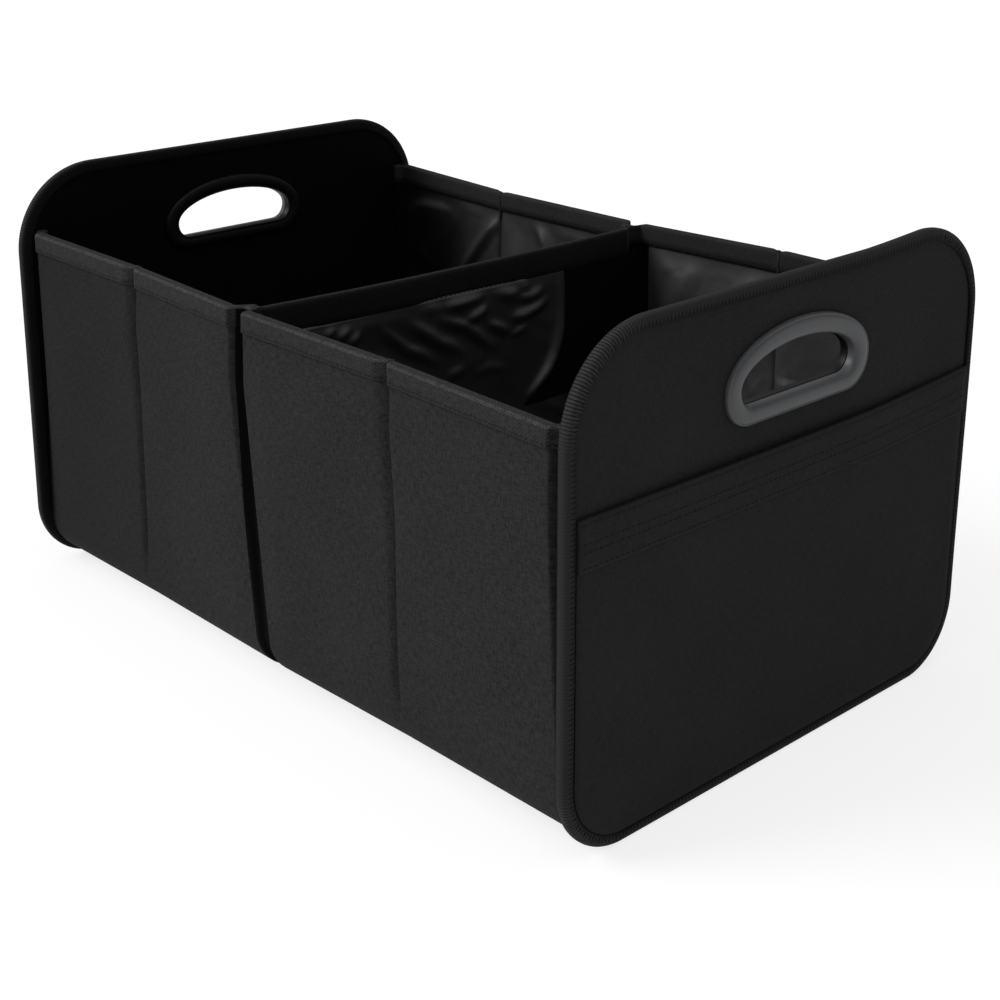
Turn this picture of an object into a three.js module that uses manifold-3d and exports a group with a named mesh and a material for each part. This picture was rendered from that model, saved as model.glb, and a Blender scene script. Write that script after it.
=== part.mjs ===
// Folding trunk organizer: two stiff end walls with grip rings, two fabric modules
// stiffened by boards, and a cloth-covered divider between them.
// Millimetres, +Z up, +X towards the grey-ringed end, origin on the ground under the middle.

import * as THREE from 'three';
import Module from 'manifold-3d';
import { mergeVertices } from 'three/addons/utils/BufferGeometryUtils.js';

const wasm = await Module();
wasm.setup();

// Overall sizes
const length = 500;              // over the two end walls, without grip rings
const width = 328;               // over the end walls
const height = 270;              // ground to the top of the end walls

// Cloth, tape, boards and the gap between neighbours
const clothThickness = 0.9;
const tapeThickness = 0.9;
const liningThickness = 0.7;
const wallBoardThickness = 2.5;
const endBoardThickness = 2.8;
const dividerBoardThickness = 3;
const baseBoardThickness = 3;
const clearance = 0.3;

// End walls
const endTopRadius = 55;
const endBottomRadius = 42;
const bindingWidth = 7;          // how far the edge tape laps onto each face
const bindingRound = 1.2;        // rounding of the tape where it turns over the edge

// Grip ring, an arched slot with a flat foot
const gripShift = { near: 4, far: 0 };   // sideways place of each grip
const gripWidth = 116;           // over the flange
const gripHeight = 49;
const gripDrop = 23.5;           // below the top of the end wall
const gripArch = 29.5;           // rise of the flange's arch above its straight sides
const gripFootRadius = 18;
const rimSide = 11.5;            // flange between its edge and the slot
const rimTop = 11.5;
const rimFoot = 9.5;
const slotFootRadius = 9.5;
const flangeThickness = 3;
const flangeRound = 1.3;
const throatWall = 1.8;
const counterFlangeThickness = 2.4;
const counterLip = 9.5;          // how far the inner flange reaches past the slot

// Outer pocket on each end wall
const pocketDrop = 16.5;         // below the grip ring
const pocketBandHeight = 26.5;

// Long walls, one fabric module on each side of the divider
const wallDrop = 41;             // rim below the top of the end walls
const bodyRadius = 25;           // curl between wall and floor
const creaseDepth = 3.5;         // how far each wall folds in at its middle
const creaseGap = 2.5;           // free cloth between a board and the crease
const endRollWidth = 7;          // the cloth turns in to the end wall
const endRollDepth = 5;
const midRollWidth = 8.5;        // and to the divider seam
const midRollDepth = 9;          // at the rim
const midRollFoot = 2.5;         // at the floor
const rollSteps = 3;
const hemWidth = 13;
const seamGap = 1.2;             // between the two modules at the seam

// Divider
const dividerX = -5;             // it is sewn in a little nearer the far end
const dividerBandHeight = 20;
const dividerSetback = 1;        // below the rim of the long walls

// Lining folds
const foldHeight = 3.2;          // on the long walls
const fanFolds = 7;              // folds that fan out from the top of each crease
const foldColumns = 4;           // places along each half of a wall
const foldRows = 4;
const dividerFoldHeight = 3.5;
const dividerFoldPitch = 31;
const dividerFoldSlope = 0.55;
const dividerFoldColumns = 18;
const dividerFoldRows = 12;
const slackFoldHeight = 5;       // the one large loose fold
const slackFoldWidth = 7;
const slackFoldRadius = 50;
const slackFoldCentre = { y: 32, drop: 60 };

// Base boards
const baseSideGap = 1;           // between a board's side and the start of the curl
const baseCreaseGap = 3;         // from a board to the crease of its module

// Worked out from the values above
const endHalf = width / 2;
const gripHalf = gripWidth / 2;
const gripTop = height - gripDrop;
const gripBottom = gripTop - gripHeight;
const gripShoulder = gripTop - gripArch;
const slotHalf = gripHalf - rimSide;
const slotTop = gripTop - rimTop;
const slotBottom = gripBottom + rimFoot;
const pocketTop = gripBottom - pocketDrop;
const wallTop = height - wallDrop;
const bodyInset = bindingWidth + clearance;
const bodyHalf = endHalf - bodyInset;
const bodyFloor = bodyInset;
const curlY = bodyHalf - bodyRadius;
const curlZ = bodyFloor + bodyRadius;
const outerX = length / 2;
const tapeDepth = tapeThickness + clearance;
const coverDepth = tapeDepth + clothThickness;
const boardStart = coverDepth + clearance;
const boardEnd = boardStart + endBoardThickness;
const innerCoverStart = boardEnd + clearance;
const innerCoverEnd = innerCoverStart + clothThickness;
const endThickness = innerCoverEnd + tapeDepth;
const moduleEnd = outerX - innerCoverEnd - clearance;
const boardOffset = clothThickness + clearance;
const liningOffset = boardOffset + wallBoardThickness + clearance;
const stackThickness = liningOffset + liningThickness;
const stackTop = wallTop - tapeThickness - clearance;
const foldTop = wallTop - hemWidth - clearance;
const dividerTop = wallTop - dividerSetback;
const dividerFace = dividerBoardThickness / 2 + clearance;
const dividerSkin = dividerFace + tapeThickness;

// Colours of the materials
const looks = {
  woven: [0x1e1e1f, 0.9, 0],
  wall: [0x2c2c2d, 0.9, 0],
  tape: [0x242425, 0.8, 0],
  lining: [0x101012, 0.38, 0],
  board: [0x3b3833, 0.85, 0],
  grip: [0x505153, 0.45, 0],
  counter: [0x0f0f10, 0.4, 0],
};

const organizer = new THREE.Group();

function material(look) {
  const [color, roughness, metalness] = looks[look];
  return new THREE.MeshStandardMaterial({ color, roughness, metalness });
}

function addPiece(name, geometry, look) {
  const mesh = new THREE.Mesh(geometry, material(look));
  mesh.name = name;
  organizer.add(mesh);
}

// Solids and booleans
function closedMesh(geometry) {
  const bare = geometry.clone();
  bare.deleteAttribute('normal');
  bare.deleteAttribute('uv');
  return mergeVertices(bare, 1e-4);
}

function toSolid(geometry) {
  const merged = closedMesh(geometry);
  return new wasm.Manifold(new wasm.Mesh({
    numProp: 3,
    vertProperties: new Float32Array(merged.attributes.position.array),
    triVerts: new Uint32Array(merged.index.array),
  }));
}

function toGeometry(solid) {
  const mesh = solid.getMesh();
  const geometry = new THREE.BufferGeometry();
  geometry.setAttribute('position', new THREE.BufferAttribute(mesh.vertProperties, 3));
  geometry.setIndex(new THREE.BufferAttribute(mesh.triVerts, 1));
  geometry.computeVertexNormals();
  return geometry;
}

// Shapes are drawn in Y and Z and extruded along X
function slab(shape, fromX, toX, curveSegments = 6) {
  const geometry = new THREE.ExtrudeGeometry(shape, {
    depth: toX - fromX, bevelEnabled: false, curveSegments,
  });
  return standUp(geometry, fromX);
}

function roundedSlab(shape, fromX, toX, round, bevelSegments, curveSegments = 6) {
  const geometry = new THREE.ExtrudeGeometry(shape, {
    depth: toX - fromX - 2 * round,
    bevelThickness: round, bevelSize: round, bevelOffset: -round, bevelSegments,
    curveSegments,
  });
  return standUp(geometry, fromX + round);
}

function standUp(geometry, fromX) {
  const point = geometry.attributes.position;
  for (let i = 0; i < point.count; i += 1) {
    point.setXYZ(i, point.getZ(i) + fromX, point.getX(i), point.getY(i));
  }
  return geometry;
}

// End wall outline, drawn inset from its edge
function endOutline(inset) {
  const half = endHalf - inset;
  const top = height - inset;
  const topRadius = endTopRadius - inset;
  const bottomRadius = endBottomRadius - inset;
  const shape = new THREE.Shape();
  shape.moveTo(-half + bottomRadius, inset);
  shape.absarc(half - bottomRadius, inset + bottomRadius, bottomRadius, -Math.PI / 2, 0);
  shape.absarc(half - topRadius, top - topRadius, topRadius, 0, Math.PI / 2);
  shape.absarc(-half + topRadius, top - topRadius, topRadius, Math.PI / 2, Math.PI);
  shape.absarc(-half + bottomRadius, inset + bottomRadius, bottomRadius, Math.PI, 1.5 * Math.PI);
  return shape;
}

function pocketOutline(inset) {
  const half = endHalf - inset;
  const radius = endBottomRadius - inset;
  const shape = new THREE.Shape();
  shape.moveTo(half, pocketTop);
  shape.lineTo(-half, pocketTop);
  shape.absarc(-half + radius, inset + radius, radius, Math.PI, 1.5 * Math.PI);
  shape.absarc(half - radius, inset + radius, radius, -Math.PI / 2, 0);
  return shape;
}

// Arched outline of the grip and its slot
function archOutline(target, middle, half, bottom, top, footRadius) {
  const footZ = bottom + footRadius;
  target.moveTo(middle - half + footRadius, bottom);
  target.absarc(middle + half - footRadius, footZ, footRadius, -Math.PI / 2, 0);
  target.absellipse(middle, gripShoulder, half, top - gripShoulder, 0, Math.PI);
  target.absarc(middle - half + footRadius, footZ, footRadius, Math.PI, 1.5 * Math.PI);
  return target;
}

function slotOutline(target, middle, grow) {
  return archOutline(target, middle, slotHalf + grow, slotBottom - grow, slotTop + grow,
    slotFootRadius + grow);
}

function gripFlange(middle) {
  return archOutline(new THREE.Shape(), middle, gripHalf, gripBottom, gripTop, gripFootRadius);
}

function rectangle(fromY, toY, fromZ, toZ) {
  const shape = new THREE.Shape();
  shape.moveTo(fromY, fromZ);
  shape.lineTo(toY, fromZ);
  shape.lineTo(toY, toZ);
  shape.lineTo(fromY, toZ);
  return shape;
}

// Turns a geometry made for the near end over to the far end
function forEnd(geometry, end) {
  return end === 'near' ? geometry : geometry.rotateZ(Math.PI);
}

function endPanel(depthFrom, depthTo, middle) {
  const shape = endOutline(tapeDepth);
  shape.holes.push(slotOutline(new THREE.Path(), middle, throatWall + clearance));
  return slab(shape, outerX - depthTo, outerX - depthFrom);
}

function endBinding() {
  const block = toSolid(roundedSlab(endOutline(0), outerX - endThickness, outerX, bindingRound, 1));
  const window = toSolid(slab(endOutline(bindingWidth), outerX - endThickness - 1, outerX + 1));
  const core = toSolid(slab(endOutline(tapeThickness), outerX - endThickness + tapeThickness,
    outerX - tapeThickness));
  return toGeometry(block.subtract(window).subtract(core));
}

function gripRing(middle) {
  const back = outerX - tapeDepth + clearance;
  const flange = toSolid(roundedSlab(gripFlange(middle), back, back + flangeThickness,
    flangeRound, 2));
  const throatEnd = outerX - innerCoverEnd - clearance - counterFlangeThickness;
  const throat = toSolid(slab(slotOutline(new THREE.Shape(), middle, throatWall),
    throatEnd, back + flangeThickness / 2));
  const slot = toSolid(slab(slotOutline(new THREE.Shape(), middle, 0),
    throatEnd - 1, back + flangeThickness + 1));
  return toGeometry(flange.add(throat).subtract(slot));
}

function counterRing(middle) {
  const face = outerX - innerCoverEnd - clearance;
  const shape = slotOutline(new THREE.Shape(), middle, counterLip);
  shape.holes.push(slotOutline(new THREE.Path(), middle, throatWall + clearance));
  return slab(shape, face - counterFlangeThickness, face);
}

function endPocket() {
  const back = outerX - tapeThickness;
  return slab(pocketOutline(bindingWidth + clearance), back, back + clothThickness);
}

function pocketBand() {
  const half = endHalf - bindingWidth - clearance;
  const back = outerX - tapeThickness + clothThickness + clearance;
  return slab(rectangle(-half, half, pocketTop - pocketBandHeight, pocketTop),
    back, back + tapeThickness);
}

for (const end of ['near', 'far']) {
  const middle = end === 'near' ? gripShift.near : -gripShift.far;
  addPiece(`${end}_end_board`, forEnd(endPanel(boardStart, boardEnd, middle), end), 'board');
  addPiece(`${end}_end_outer_cover`, forEnd(endPanel(tapeDepth, coverDepth, middle), end), 'woven');
  addPiece(`${end}_end_inner_cover`,
    forEnd(endPanel(innerCoverStart, innerCoverEnd, middle), end), 'woven');
  addPiece(`${end}_end_binding`, forEnd(endBinding(), end), 'tape');
  addPiece(`${end}_grip_ring`, forEnd(gripRing(middle), end), 'grip');
  addPiece(`${end}_grip_counter_ring`, forEnd(counterRing(middle), end), 'counter');
  addPiece(`${end}_pocket`, forEnd(endPocket(), end), 'woven');
  addPiece(`${end}_pocket_band`, forEnd(pocketBand(), end), 'tape');
}

// Long walls. Their sections are drawn at the flat wall and moved inwards along the length.
function rollIn(distance, rollWidth, depth) {
  if (distance >= rollWidth) {
    return 0;
  }
  return depth * (1 - Math.sin((Math.PI / 2) * (distance / rollWidth)));
}

function midRoll(z) {
  const rise = THREE.MathUtils.clamp((z - curlZ) / (wallTop - curlZ), 0, 1);
  return THREE.MathUtils.lerp(midRollFoot, midRollDepth, rise);
}

// The ends and the middle crease of the module at x, measured along X
function moduleAt(x) {
  const side = x > dividerX ? 1 : -1;
  const start = dividerX + side * seamGap / 2;
  const end = side * moduleEnd;
  return { side, start, end, crease: (start + end) / 2 };
}

const modules = { near: moduleAt(moduleEnd), far: moduleAt(-moduleEnd) };

function wallSetIn(x, z) {
  const { start, end, crease } = moduleAt(x);
  const fold = creaseDepth * (1 - Math.abs((x - crease) / (end - crease)));
  const foldRise = THREE.MathUtils.clamp((z - bodyFloor) / bodyRadius, 0, 1);
  const middleRoll = rollIn(Math.abs(x - start), midRollWidth, midRoll(z));
  const endRoll = rollIn(Math.abs(end - x), endRollWidth, endRollDepth);
  return fold * foldRise + middleRoll + endRoll;
}

// Moves a point of the section towards the inside of the body
function setIn(y, z, amount) {
  const coreY = THREE.MathUtils.clamp(y, -curlY, curlY);
  const coreZ = Math.max(z, curlZ);
  const reach = Math.hypot(coreY - y, coreZ - z) || 1;
  return [y + amount * (coreY - y) / reach, z + amount * (coreZ - z) / reach];
}

function sweep(shape, stations, extra = () => 0, curveSegments = 5) {
  const steps = stations.length - 1;
  const geometry = new THREE.ExtrudeGeometry(shape, {
    depth: steps, steps, bevelEnabled: false, curveSegments,
  });
  const point = geometry.attributes.position;
  for (let i = 0; i < point.count; i += 1) {
    const x = stations[Math.round(point.getZ(i))];
    const y = point.getX(i);
    const z = point.getY(i);
    const [innerY, innerZ] = setIn(y, z, wallSetIn(x, z) + extra(x, y, z));
    point.setXYZ(i, x, innerY, innerZ);
  }
  return geometry;
}

// Places along one module, from low to high X, with those at its rolls and its crease
function moduleStations(module, startGap) {
  const { side, start, end, crease } = modules[module];
  const shares = evenly(0, 1, rollSteps);
  const from = start + side * startGap;
  const inner = shares.map((share) => start + side * share * midRollWidth)
    .filter((x) => side * (x - from) > clearance);
  const outer = shares.map((share) => end - side * share * endRollWidth);
  return [from, ...inner, crease, ...outer].sort((a, b) => a - b);
}

// Adds places between the rolls, where the lining folds
function foldStations(module, startGap) {
  const { side, start, end, crease } = modules[module];
  const inner = evenly(start + side * midRollWidth, crease, foldColumns).slice(1, -1);
  const outer = evenly(crease, end - side * endRollWidth, foldColumns).slice(1, -1);
  return [...moduleStations(module, startGap), ...inner, ...outer].sort((a, b) => a - b);
}

function evenly(from, to, count) {
  return Array.from({ length: count + 1 }, (_, i) => from + (to - from) * (i / count));
}

// U-shaped section of a sheet that runs down one wall, over the floor and up the other
function slingSection(wallOffset, floorOffset, thickness, top, rows) {
  const outerHalf = bodyHalf - wallOffset;
  const innerHalf = outerHalf - thickness;
  const outerFloor = bodyRadius - floorOffset;
  const innerFloor = outerFloor - thickness;
  const levels = [...evenly(curlZ, foldTop, rows).slice(1), top];
  const shape = new THREE.Shape();
  shape.moveTo(-outerHalf, top);
  [...levels].reverse().slice(1).forEach((z) => shape.lineTo(-outerHalf, z));
  shape.lineTo(-outerHalf, curlZ);
  shape.absellipse(-curlY, curlZ, outerHalf - curlY, outerFloor, Math.PI, 1.5 * Math.PI);
  shape.absellipse(curlY, curlZ, outerHalf - curlY, outerFloor, 1.5 * Math.PI, 2 * Math.PI);
  levels.forEach((z) => shape.lineTo(outerHalf, z));
  shape.lineTo(innerHalf, top);
  [...levels].reverse().slice(1).forEach((z) => shape.lineTo(innerHalf, z));
  shape.lineTo(innerHalf, curlZ);
  shape.absellipse(curlY, curlZ, innerHalf - curlY, innerFloor, 0, -Math.PI / 2, true);
  shape.absellipse(-curlY, curlZ, innerHalf - curlY, innerFloor, -Math.PI / 2, -Math.PI, true);
  levels.forEach((z) => shape.lineTo(-innerHalf, z));
  return shape;
}

// Folds of the lining that fan out below the top of each crease
function wallFolds(x, y, z) {
  const { end, crease } = moduleAt(x);
  const out = Math.abs(x - crease);
  const drop = foldTop - z;
  const fan = Math.cos(fanFolds * Math.atan2(out, drop + hemWidth));
  const fadeTop = THREE.MathUtils.smoothstep(drop, 0, 2 * hemWidth);
  const fadeFoot = THREE.MathUtils.smoothstep(z, curlZ, 2 * curlZ);
  const fadeSide = THREE.MathUtils.smoothstep(Math.abs(end - crease) - out,
    midRollWidth, 4 * midRollWidth);
  const onInside = Math.abs(y) < bodyHalf - liningOffset - liningThickness / 2 ? 1 : 0;
  return onInside * foldHeight * Math.max(0, fan) * fadeTop * fadeFoot * fadeSide;
}

function wallRectangle(side, fromOffset, toOffset, fromZ, toZ) {
  const outer = side * (bodyHalf - fromOffset);
  const inner = side * (bodyHalf - toOffset);
  return rectangle(Math.min(outer, inner), Math.max(outer, inner), fromZ, toZ);
}

function hemSection(side) {
  const out = side * (bodyHalf + clearance);
  const tape = side * tapeThickness;
  const back = side * (bodyHalf - stackThickness - clearance);
  const foot = wallTop - hemWidth;
  const shape = new THREE.Shape();
  shape.moveTo(out + tape, foot);
  shape.lineTo(out + tape, wallTop);
  shape.lineTo(back - tape, wallTop);
  shape.lineTo(back - tape, foot);
  shape.lineTo(back, foot);
  shape.lineTo(back, wallTop - tapeThickness);
  shape.lineTo(out, wallTop - tapeThickness);
  shape.lineTo(out, foot);
  return shape;
}

const sides = { front: -1, back: 1 };
const skinGap = dividerSkin + clearance - seamGap / 2;   // from the seam to clear of the divider

// The flat stretches of a module on each side of its crease, from low to high X
function flatSpans(module, creaseSpace) {
  const { side, start, end, crease } = modules[module];
  const inner = [start + side * (midRollWidth + clearance), crease - side * creaseSpace];
  const outer = [crease + side * creaseSpace, end - side * (endRollWidth + clearance)];
  return { inner: inner.sort((a, b) => a - b), outer: outer.sort((a, b) => a - b) };
}

for (const module of Object.keys(modules)) {
  addPiece(`${module}_outer_cloth`, sweep(slingSection(0, 0, clothThickness, stackTop, 1),
    moduleStations(module, 0)), 'wall');
  addPiece(`${module}_lining`, sweep(
    slingSection(liningOffset, boardOffset, liningThickness, stackTop, foldRows),
    foldStations(module, skinGap), wallFolds, 4), 'lining');
  for (const [sideName, side] of Object.entries(sides)) {
    for (const [place, span] of Object.entries(flatSpans(module, creaseGap))) {
      const shape = wallRectangle(side, boardOffset, boardOffset + wallBoardThickness,
        curlZ + clearance, stackTop);
      addPiece(`${module}_${sideName}_${place}_board`, sweep(shape, span), 'board');
    }
    addPiece(`${module}_${sideName}_hem`,
      sweep(hemSection(side), moduleStations(module, skinGap)), 'tape');
  }
}

// Divider, shaped to the seam on both walls
function dividerSide(z) {
  return bodyHalf - midRoll(z) - clothThickness - clearance;
}

function dividerOutline(top, inset) {
  const foot = dividerSide(curlZ) - inset;
  const radius = foot - curlY;
  const shape = new THREE.Shape();
  shape.moveTo(-dividerSide(top) + inset, top);
  shape.absarc(-curlY, curlZ, radius, Math.PI, 1.5 * Math.PI);
  shape.absarc(curlY, curlZ, radius, 1.5 * Math.PI, 2 * Math.PI);
  shape.lineTo(dividerSide(top) - inset, top);
  return shape;
}

function dividerBand() {
  const foot = dividerTop - dividerBandHeight;
  const half = dividerSide(dividerTop) - stackThickness - clearance;
  const block = toSolid(slab(rectangle(-half, half, foot, dividerTop),
    dividerX - dividerSkin, dividerX + dividerSkin));
  const slit = toSolid(slab(rectangle(-half - 1, half + 1, foot - 1, dividerTop - tapeThickness),
    dividerX - dividerFace, dividerX + dividerFace));
  return toGeometry(block.subtract(slit));
}

// Height of the divider lining's folds above its board
function dividerFold(y, z) {
  const slope = (z + y * dividerFoldSlope) * (2 * Math.PI / dividerFoldPitch);
  const ridge = Math.max(0, Math.sin(slope + Math.sin(y / dividerFoldPitch)));
  const centreZ = dividerTop - slackFoldCentre.drop;
  const fromCentre = Math.hypot(y - slackFoldCentre.y, z - centreZ);
  const away = Math.abs(fromCentre - slackFoldRadius) / slackFoldWidth;
  const beside = y > slackFoldCentre.y - slackFoldRadius / 2;
  const below = z < centreZ + slackFoldRadius / 2;
  const slack = beside && below ? slackFoldHeight * Math.exp(-away * away) : 0;
  return Math.max(dividerFoldHeight * ridge, slack);
}

function dividerLining(side) {
  const foot = bodyFloor + liningOffset + baseBoardThickness;
  const top = dividerTop - dividerBandHeight - clearance;
  const half = dividerSide(top) - stackThickness - clearance;
  const columns = dividerFoldColumns;
  const rows = dividerFoldRows;
  const geometry = new THREE.BoxGeometry(liningThickness, 2 * half, top - foot, 1, columns, rows);
  const point = geometry.attributes.position;
  for (let i = 0; i < point.count; i += 1) {
    const y = point.getY(i);
    const z = point.getZ(i) + (foot + top) / 2;
    const edge = Math.min(half - Math.abs(y), top - z, z - foot);
    const fade = THREE.MathUtils.smoothstep(edge, 0, hemWidth);
    const face = point.getX(i) * side > 0 ? dividerFold(side * y, z) * fade : 0;
    const x = dividerX + side * (dividerFace + liningThickness / 2 + face) + point.getX(i);
    point.setXYZ(i, x, y, z);
  }
  return geometry;
}

function baseBoard([from, to]) {
  const half = curlY - baseSideGap;
  const bottom = bodyFloor + boardOffset + liningThickness + clearance;
  return slab(rectangle(-half, half, bottom, bottom + baseBoardThickness), from, to);
}

addPiece('divider_board', slab(dividerOutline(dividerTop - tapeThickness - clearance, clearance),
  dividerX - dividerBoardThickness / 2, dividerX + dividerBoardThickness / 2), 'board');
addPiece('divider_top_band', dividerBand(), 'tape');
addPiece('near_divider_lining', dividerLining(1), 'lining');
addPiece('far_divider_lining', dividerLining(-1), 'lining');

for (const module of Object.keys(modules)) {
  for (const [place, span] of Object.entries(flatSpans(module, baseCreaseGap))) {
    addPiece(`${module}_${place}_base_board`, baseBoard(span), 'woven');
  }
}

export default organizer;
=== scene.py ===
# %% [markdown]
# A folding trunk organizer of black cloth.
# Two stiff end walls with grip rings carry two cloth modules, a divider hangs in the
# seam between them, and every cloth edge is bound with ribbed tape.
# The imported frame gives each piece its place. It is loaded first.

# %% Frame
import math

import bmesh
import bpy
import numpy as np
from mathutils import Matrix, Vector


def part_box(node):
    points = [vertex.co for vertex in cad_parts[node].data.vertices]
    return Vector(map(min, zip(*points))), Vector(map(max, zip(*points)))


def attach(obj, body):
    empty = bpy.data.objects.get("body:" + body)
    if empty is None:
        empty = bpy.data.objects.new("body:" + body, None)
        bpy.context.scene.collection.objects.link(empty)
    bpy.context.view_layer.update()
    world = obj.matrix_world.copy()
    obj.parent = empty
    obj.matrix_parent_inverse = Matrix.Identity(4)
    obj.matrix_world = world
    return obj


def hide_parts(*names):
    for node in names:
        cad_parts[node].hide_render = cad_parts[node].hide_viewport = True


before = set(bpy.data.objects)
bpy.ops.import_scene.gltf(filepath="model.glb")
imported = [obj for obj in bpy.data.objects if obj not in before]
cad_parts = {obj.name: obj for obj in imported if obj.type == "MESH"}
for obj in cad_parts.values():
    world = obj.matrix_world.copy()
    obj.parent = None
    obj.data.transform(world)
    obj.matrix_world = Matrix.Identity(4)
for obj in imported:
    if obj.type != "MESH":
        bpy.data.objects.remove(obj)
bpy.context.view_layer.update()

# %% [markdown]
# The camera stands where the photograph was taken from, in front of the near corner.
# It could be aimed by hand until it looks right, but the corners of the end walls give
# its place, its turn and its focal length, so these are written as numbers. The shift
# moves the frame without turning the camera, which keeps the upright lines as they are.

# %% Camera
camera = bpy.data.objects.new("photo_camera", bpy.data.cameras.new("photo_camera"))
bpy.context.collection.objects.link(camera)
camera.location = (0.7729, -0.6933, 0.4988)
camera.rotation_euler = (math.radians(74.484), 0, math.radians(46.523))
camera.data.lens = 63.768
camera.data.sensor_width = 36
camera.data.shift_x = -0.0128
camera.data.shift_y = -0.2108
camera.data.clip_start = 0.01
camera.data.clip_end = 50
bpy.context.scene.camera = camera
print("camera at", tuple(camera.location))

# %% [markdown]
# The sizes below are those of the frame, in metres. Each one is written once, and every
# piece takes its place from them, so a cover, its tape and its stitches stay together.

# %% Sizes
MM = 0.001
END_HALF = 164 * MM              # half width of an end wall
END_TOP = 270 * MM
END_TOP_RADIUS = 55 * MM
END_FOOT_RADIUS = 42 * MM
OUTER_X = 250 * MM
BINDING = 7 * MM                 # lap of the edge tape
CLOTH = 0.9 * MM
TAPE = 0.9 * MM
LINING = 0.7 * MM
SHOULDER = 217 * MM              # where the arch of the grip begins
SLOT = dict(half=46.5 * MM, foot=207 * MM, top=235 * MM, radius=9.5 * MM)
FLANGE = dict(half=58 * MM, foot=197.5 * MM, top=246.5 * MM, radius=18 * MM)
GRIP_SHIFT = {"near": 4 * MM, "far": 0.0}
POCKET_TOP = 181 * MM
BODY_HALF = 156.7 * MM           # outside of the long walls
BODY_FLOOR = 7.3 * MM
CURL_Y = 131.7 * MM              # where the wall curls into the floor
CURL_Z = 32.3 * MM
WALL_TOP = 229 * MM
STACK_TOP = 227.8 * MM
HEM = 13 * MM
MODULE_END = 243.3 * MM
SEAM_X = -5 * MM
SEAM_GAP = 0.1 * MM
CREASE_DEPTH = 3.5 * MM
END_ROLL = 5 * MM                # how deep the cloth turns in at an end wall
MID_ROLL = 9 * MM
MID_ROLL_FOOT = 2.5 * MM
LINING_OFFSET = 4.0 * MM
FLOOR_OFFSET = 1.2 * MM
DIVIDER_TOP = 228 * MM
DIVIDER_BAND = 17.5 * MM
ENDS = {"near": 1, "far": -1}
print("sizes set; module length", round(MODULE_END - SEAM_X, 4))

# %% [markdown]
# Every operator works on what is selected, so a few short helpers do the selecting.
# They stand in for the clicks of a hand: pick a piece, choose its corners, edges or
# faces by their place, and set it down with its place in its mesh.

# %% Helpers for modelling
def deselect():
    if bpy.context.object and bpy.context.object.mode != "OBJECT":
        bpy.ops.object.mode_set(mode="OBJECT")
    bpy.ops.object.select_all(action="DESELECT")


def pick(*pieces):
    deselect()
    for piece in pieces:
        piece.select_set(True)
    bpy.context.view_layer.objects.active = pieces[0]


def named(name):
    piece = bpy.context.object
    piece.name = piece.data.name = name
    return piece


def set_down(piece):
    pick(piece)
    bpy.ops.object.transform_apply(location=True, rotation=True, scale=True)
    return piece


def choose(piece, kind, test):
    """Opens the piece for editing and selects what passes the test, by its middle."""
    pick(piece)
    bpy.ops.object.mode_set(mode="EDIT")
    bpy.ops.mesh.select_mode(type=kind)
    bpy.ops.mesh.select_all(action="DESELECT")
    mesh = bmesh.from_edit_mesh(piece.data)
    for part in {"VERT": mesh.verts, "EDGE": mesh.edges, "FACE": mesh.faces}[kind]:
        corners = [part] if kind == "VERT" else list(part.verts)
        middle = sum((corner.co for corner in corners), Vector()) / len(corners)
        if test(middle, part):
            part.select_set(True)
    bmesh.update_edit_mesh(piece.data)


def close_editing():
    bpy.ops.object.mode_set(mode="OBJECT")


def apply_modifier(piece, kind, **values):
    pick(piece)
    modifier = piece.modifiers.new(kind.lower(), kind)
    for key, value in values.items():
        setattr(modifier, key, value)
    bpy.ops.object.modifier_apply(modifier=modifier.name)


def remove(piece):
    bpy.data.objects.remove(piece, do_unlink=True)


def choose_all(piece, kind):
    choose(piece, kind, lambda middle, part: True)


def merge_points(piece, threshold):
    choose_all(piece, "VERT")
    bpy.ops.mesh.remove_doubles(threshold=threshold)
    close_editing()


def points_of(piece):
    """The places of a piece's points, one row of three for each."""
    spots = np.empty(len(piece.data.vertices) * 3)
    piece.data.vertices.foreach_get("co", spots)
    return spots.reshape(-1, 3)


def put_points(piece, points):
    piece.data.vertices.foreach_set("co", np.ravel(points))
    piece.data.update()


def mark_points(piece, label, values):
    """Writes a value on each point of a piece, which a finish can read."""
    mark = piece.data.attributes.new(label, "FLOAT", "POINT")
    mark.data.foreach_set("value", values)


print("helpers ready")

# %% [markdown]
# Cloth is drawn as a grid of threads. A flat grid is added, each of its points is put
# where the sheet goes, and the flat size of the cut stays in the UV map, in metres, so
# that a weave keeps its scale on it however the sheet is bent. Cutting a block to shape
# would be quicker, but its faces would not follow the threads.

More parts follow.
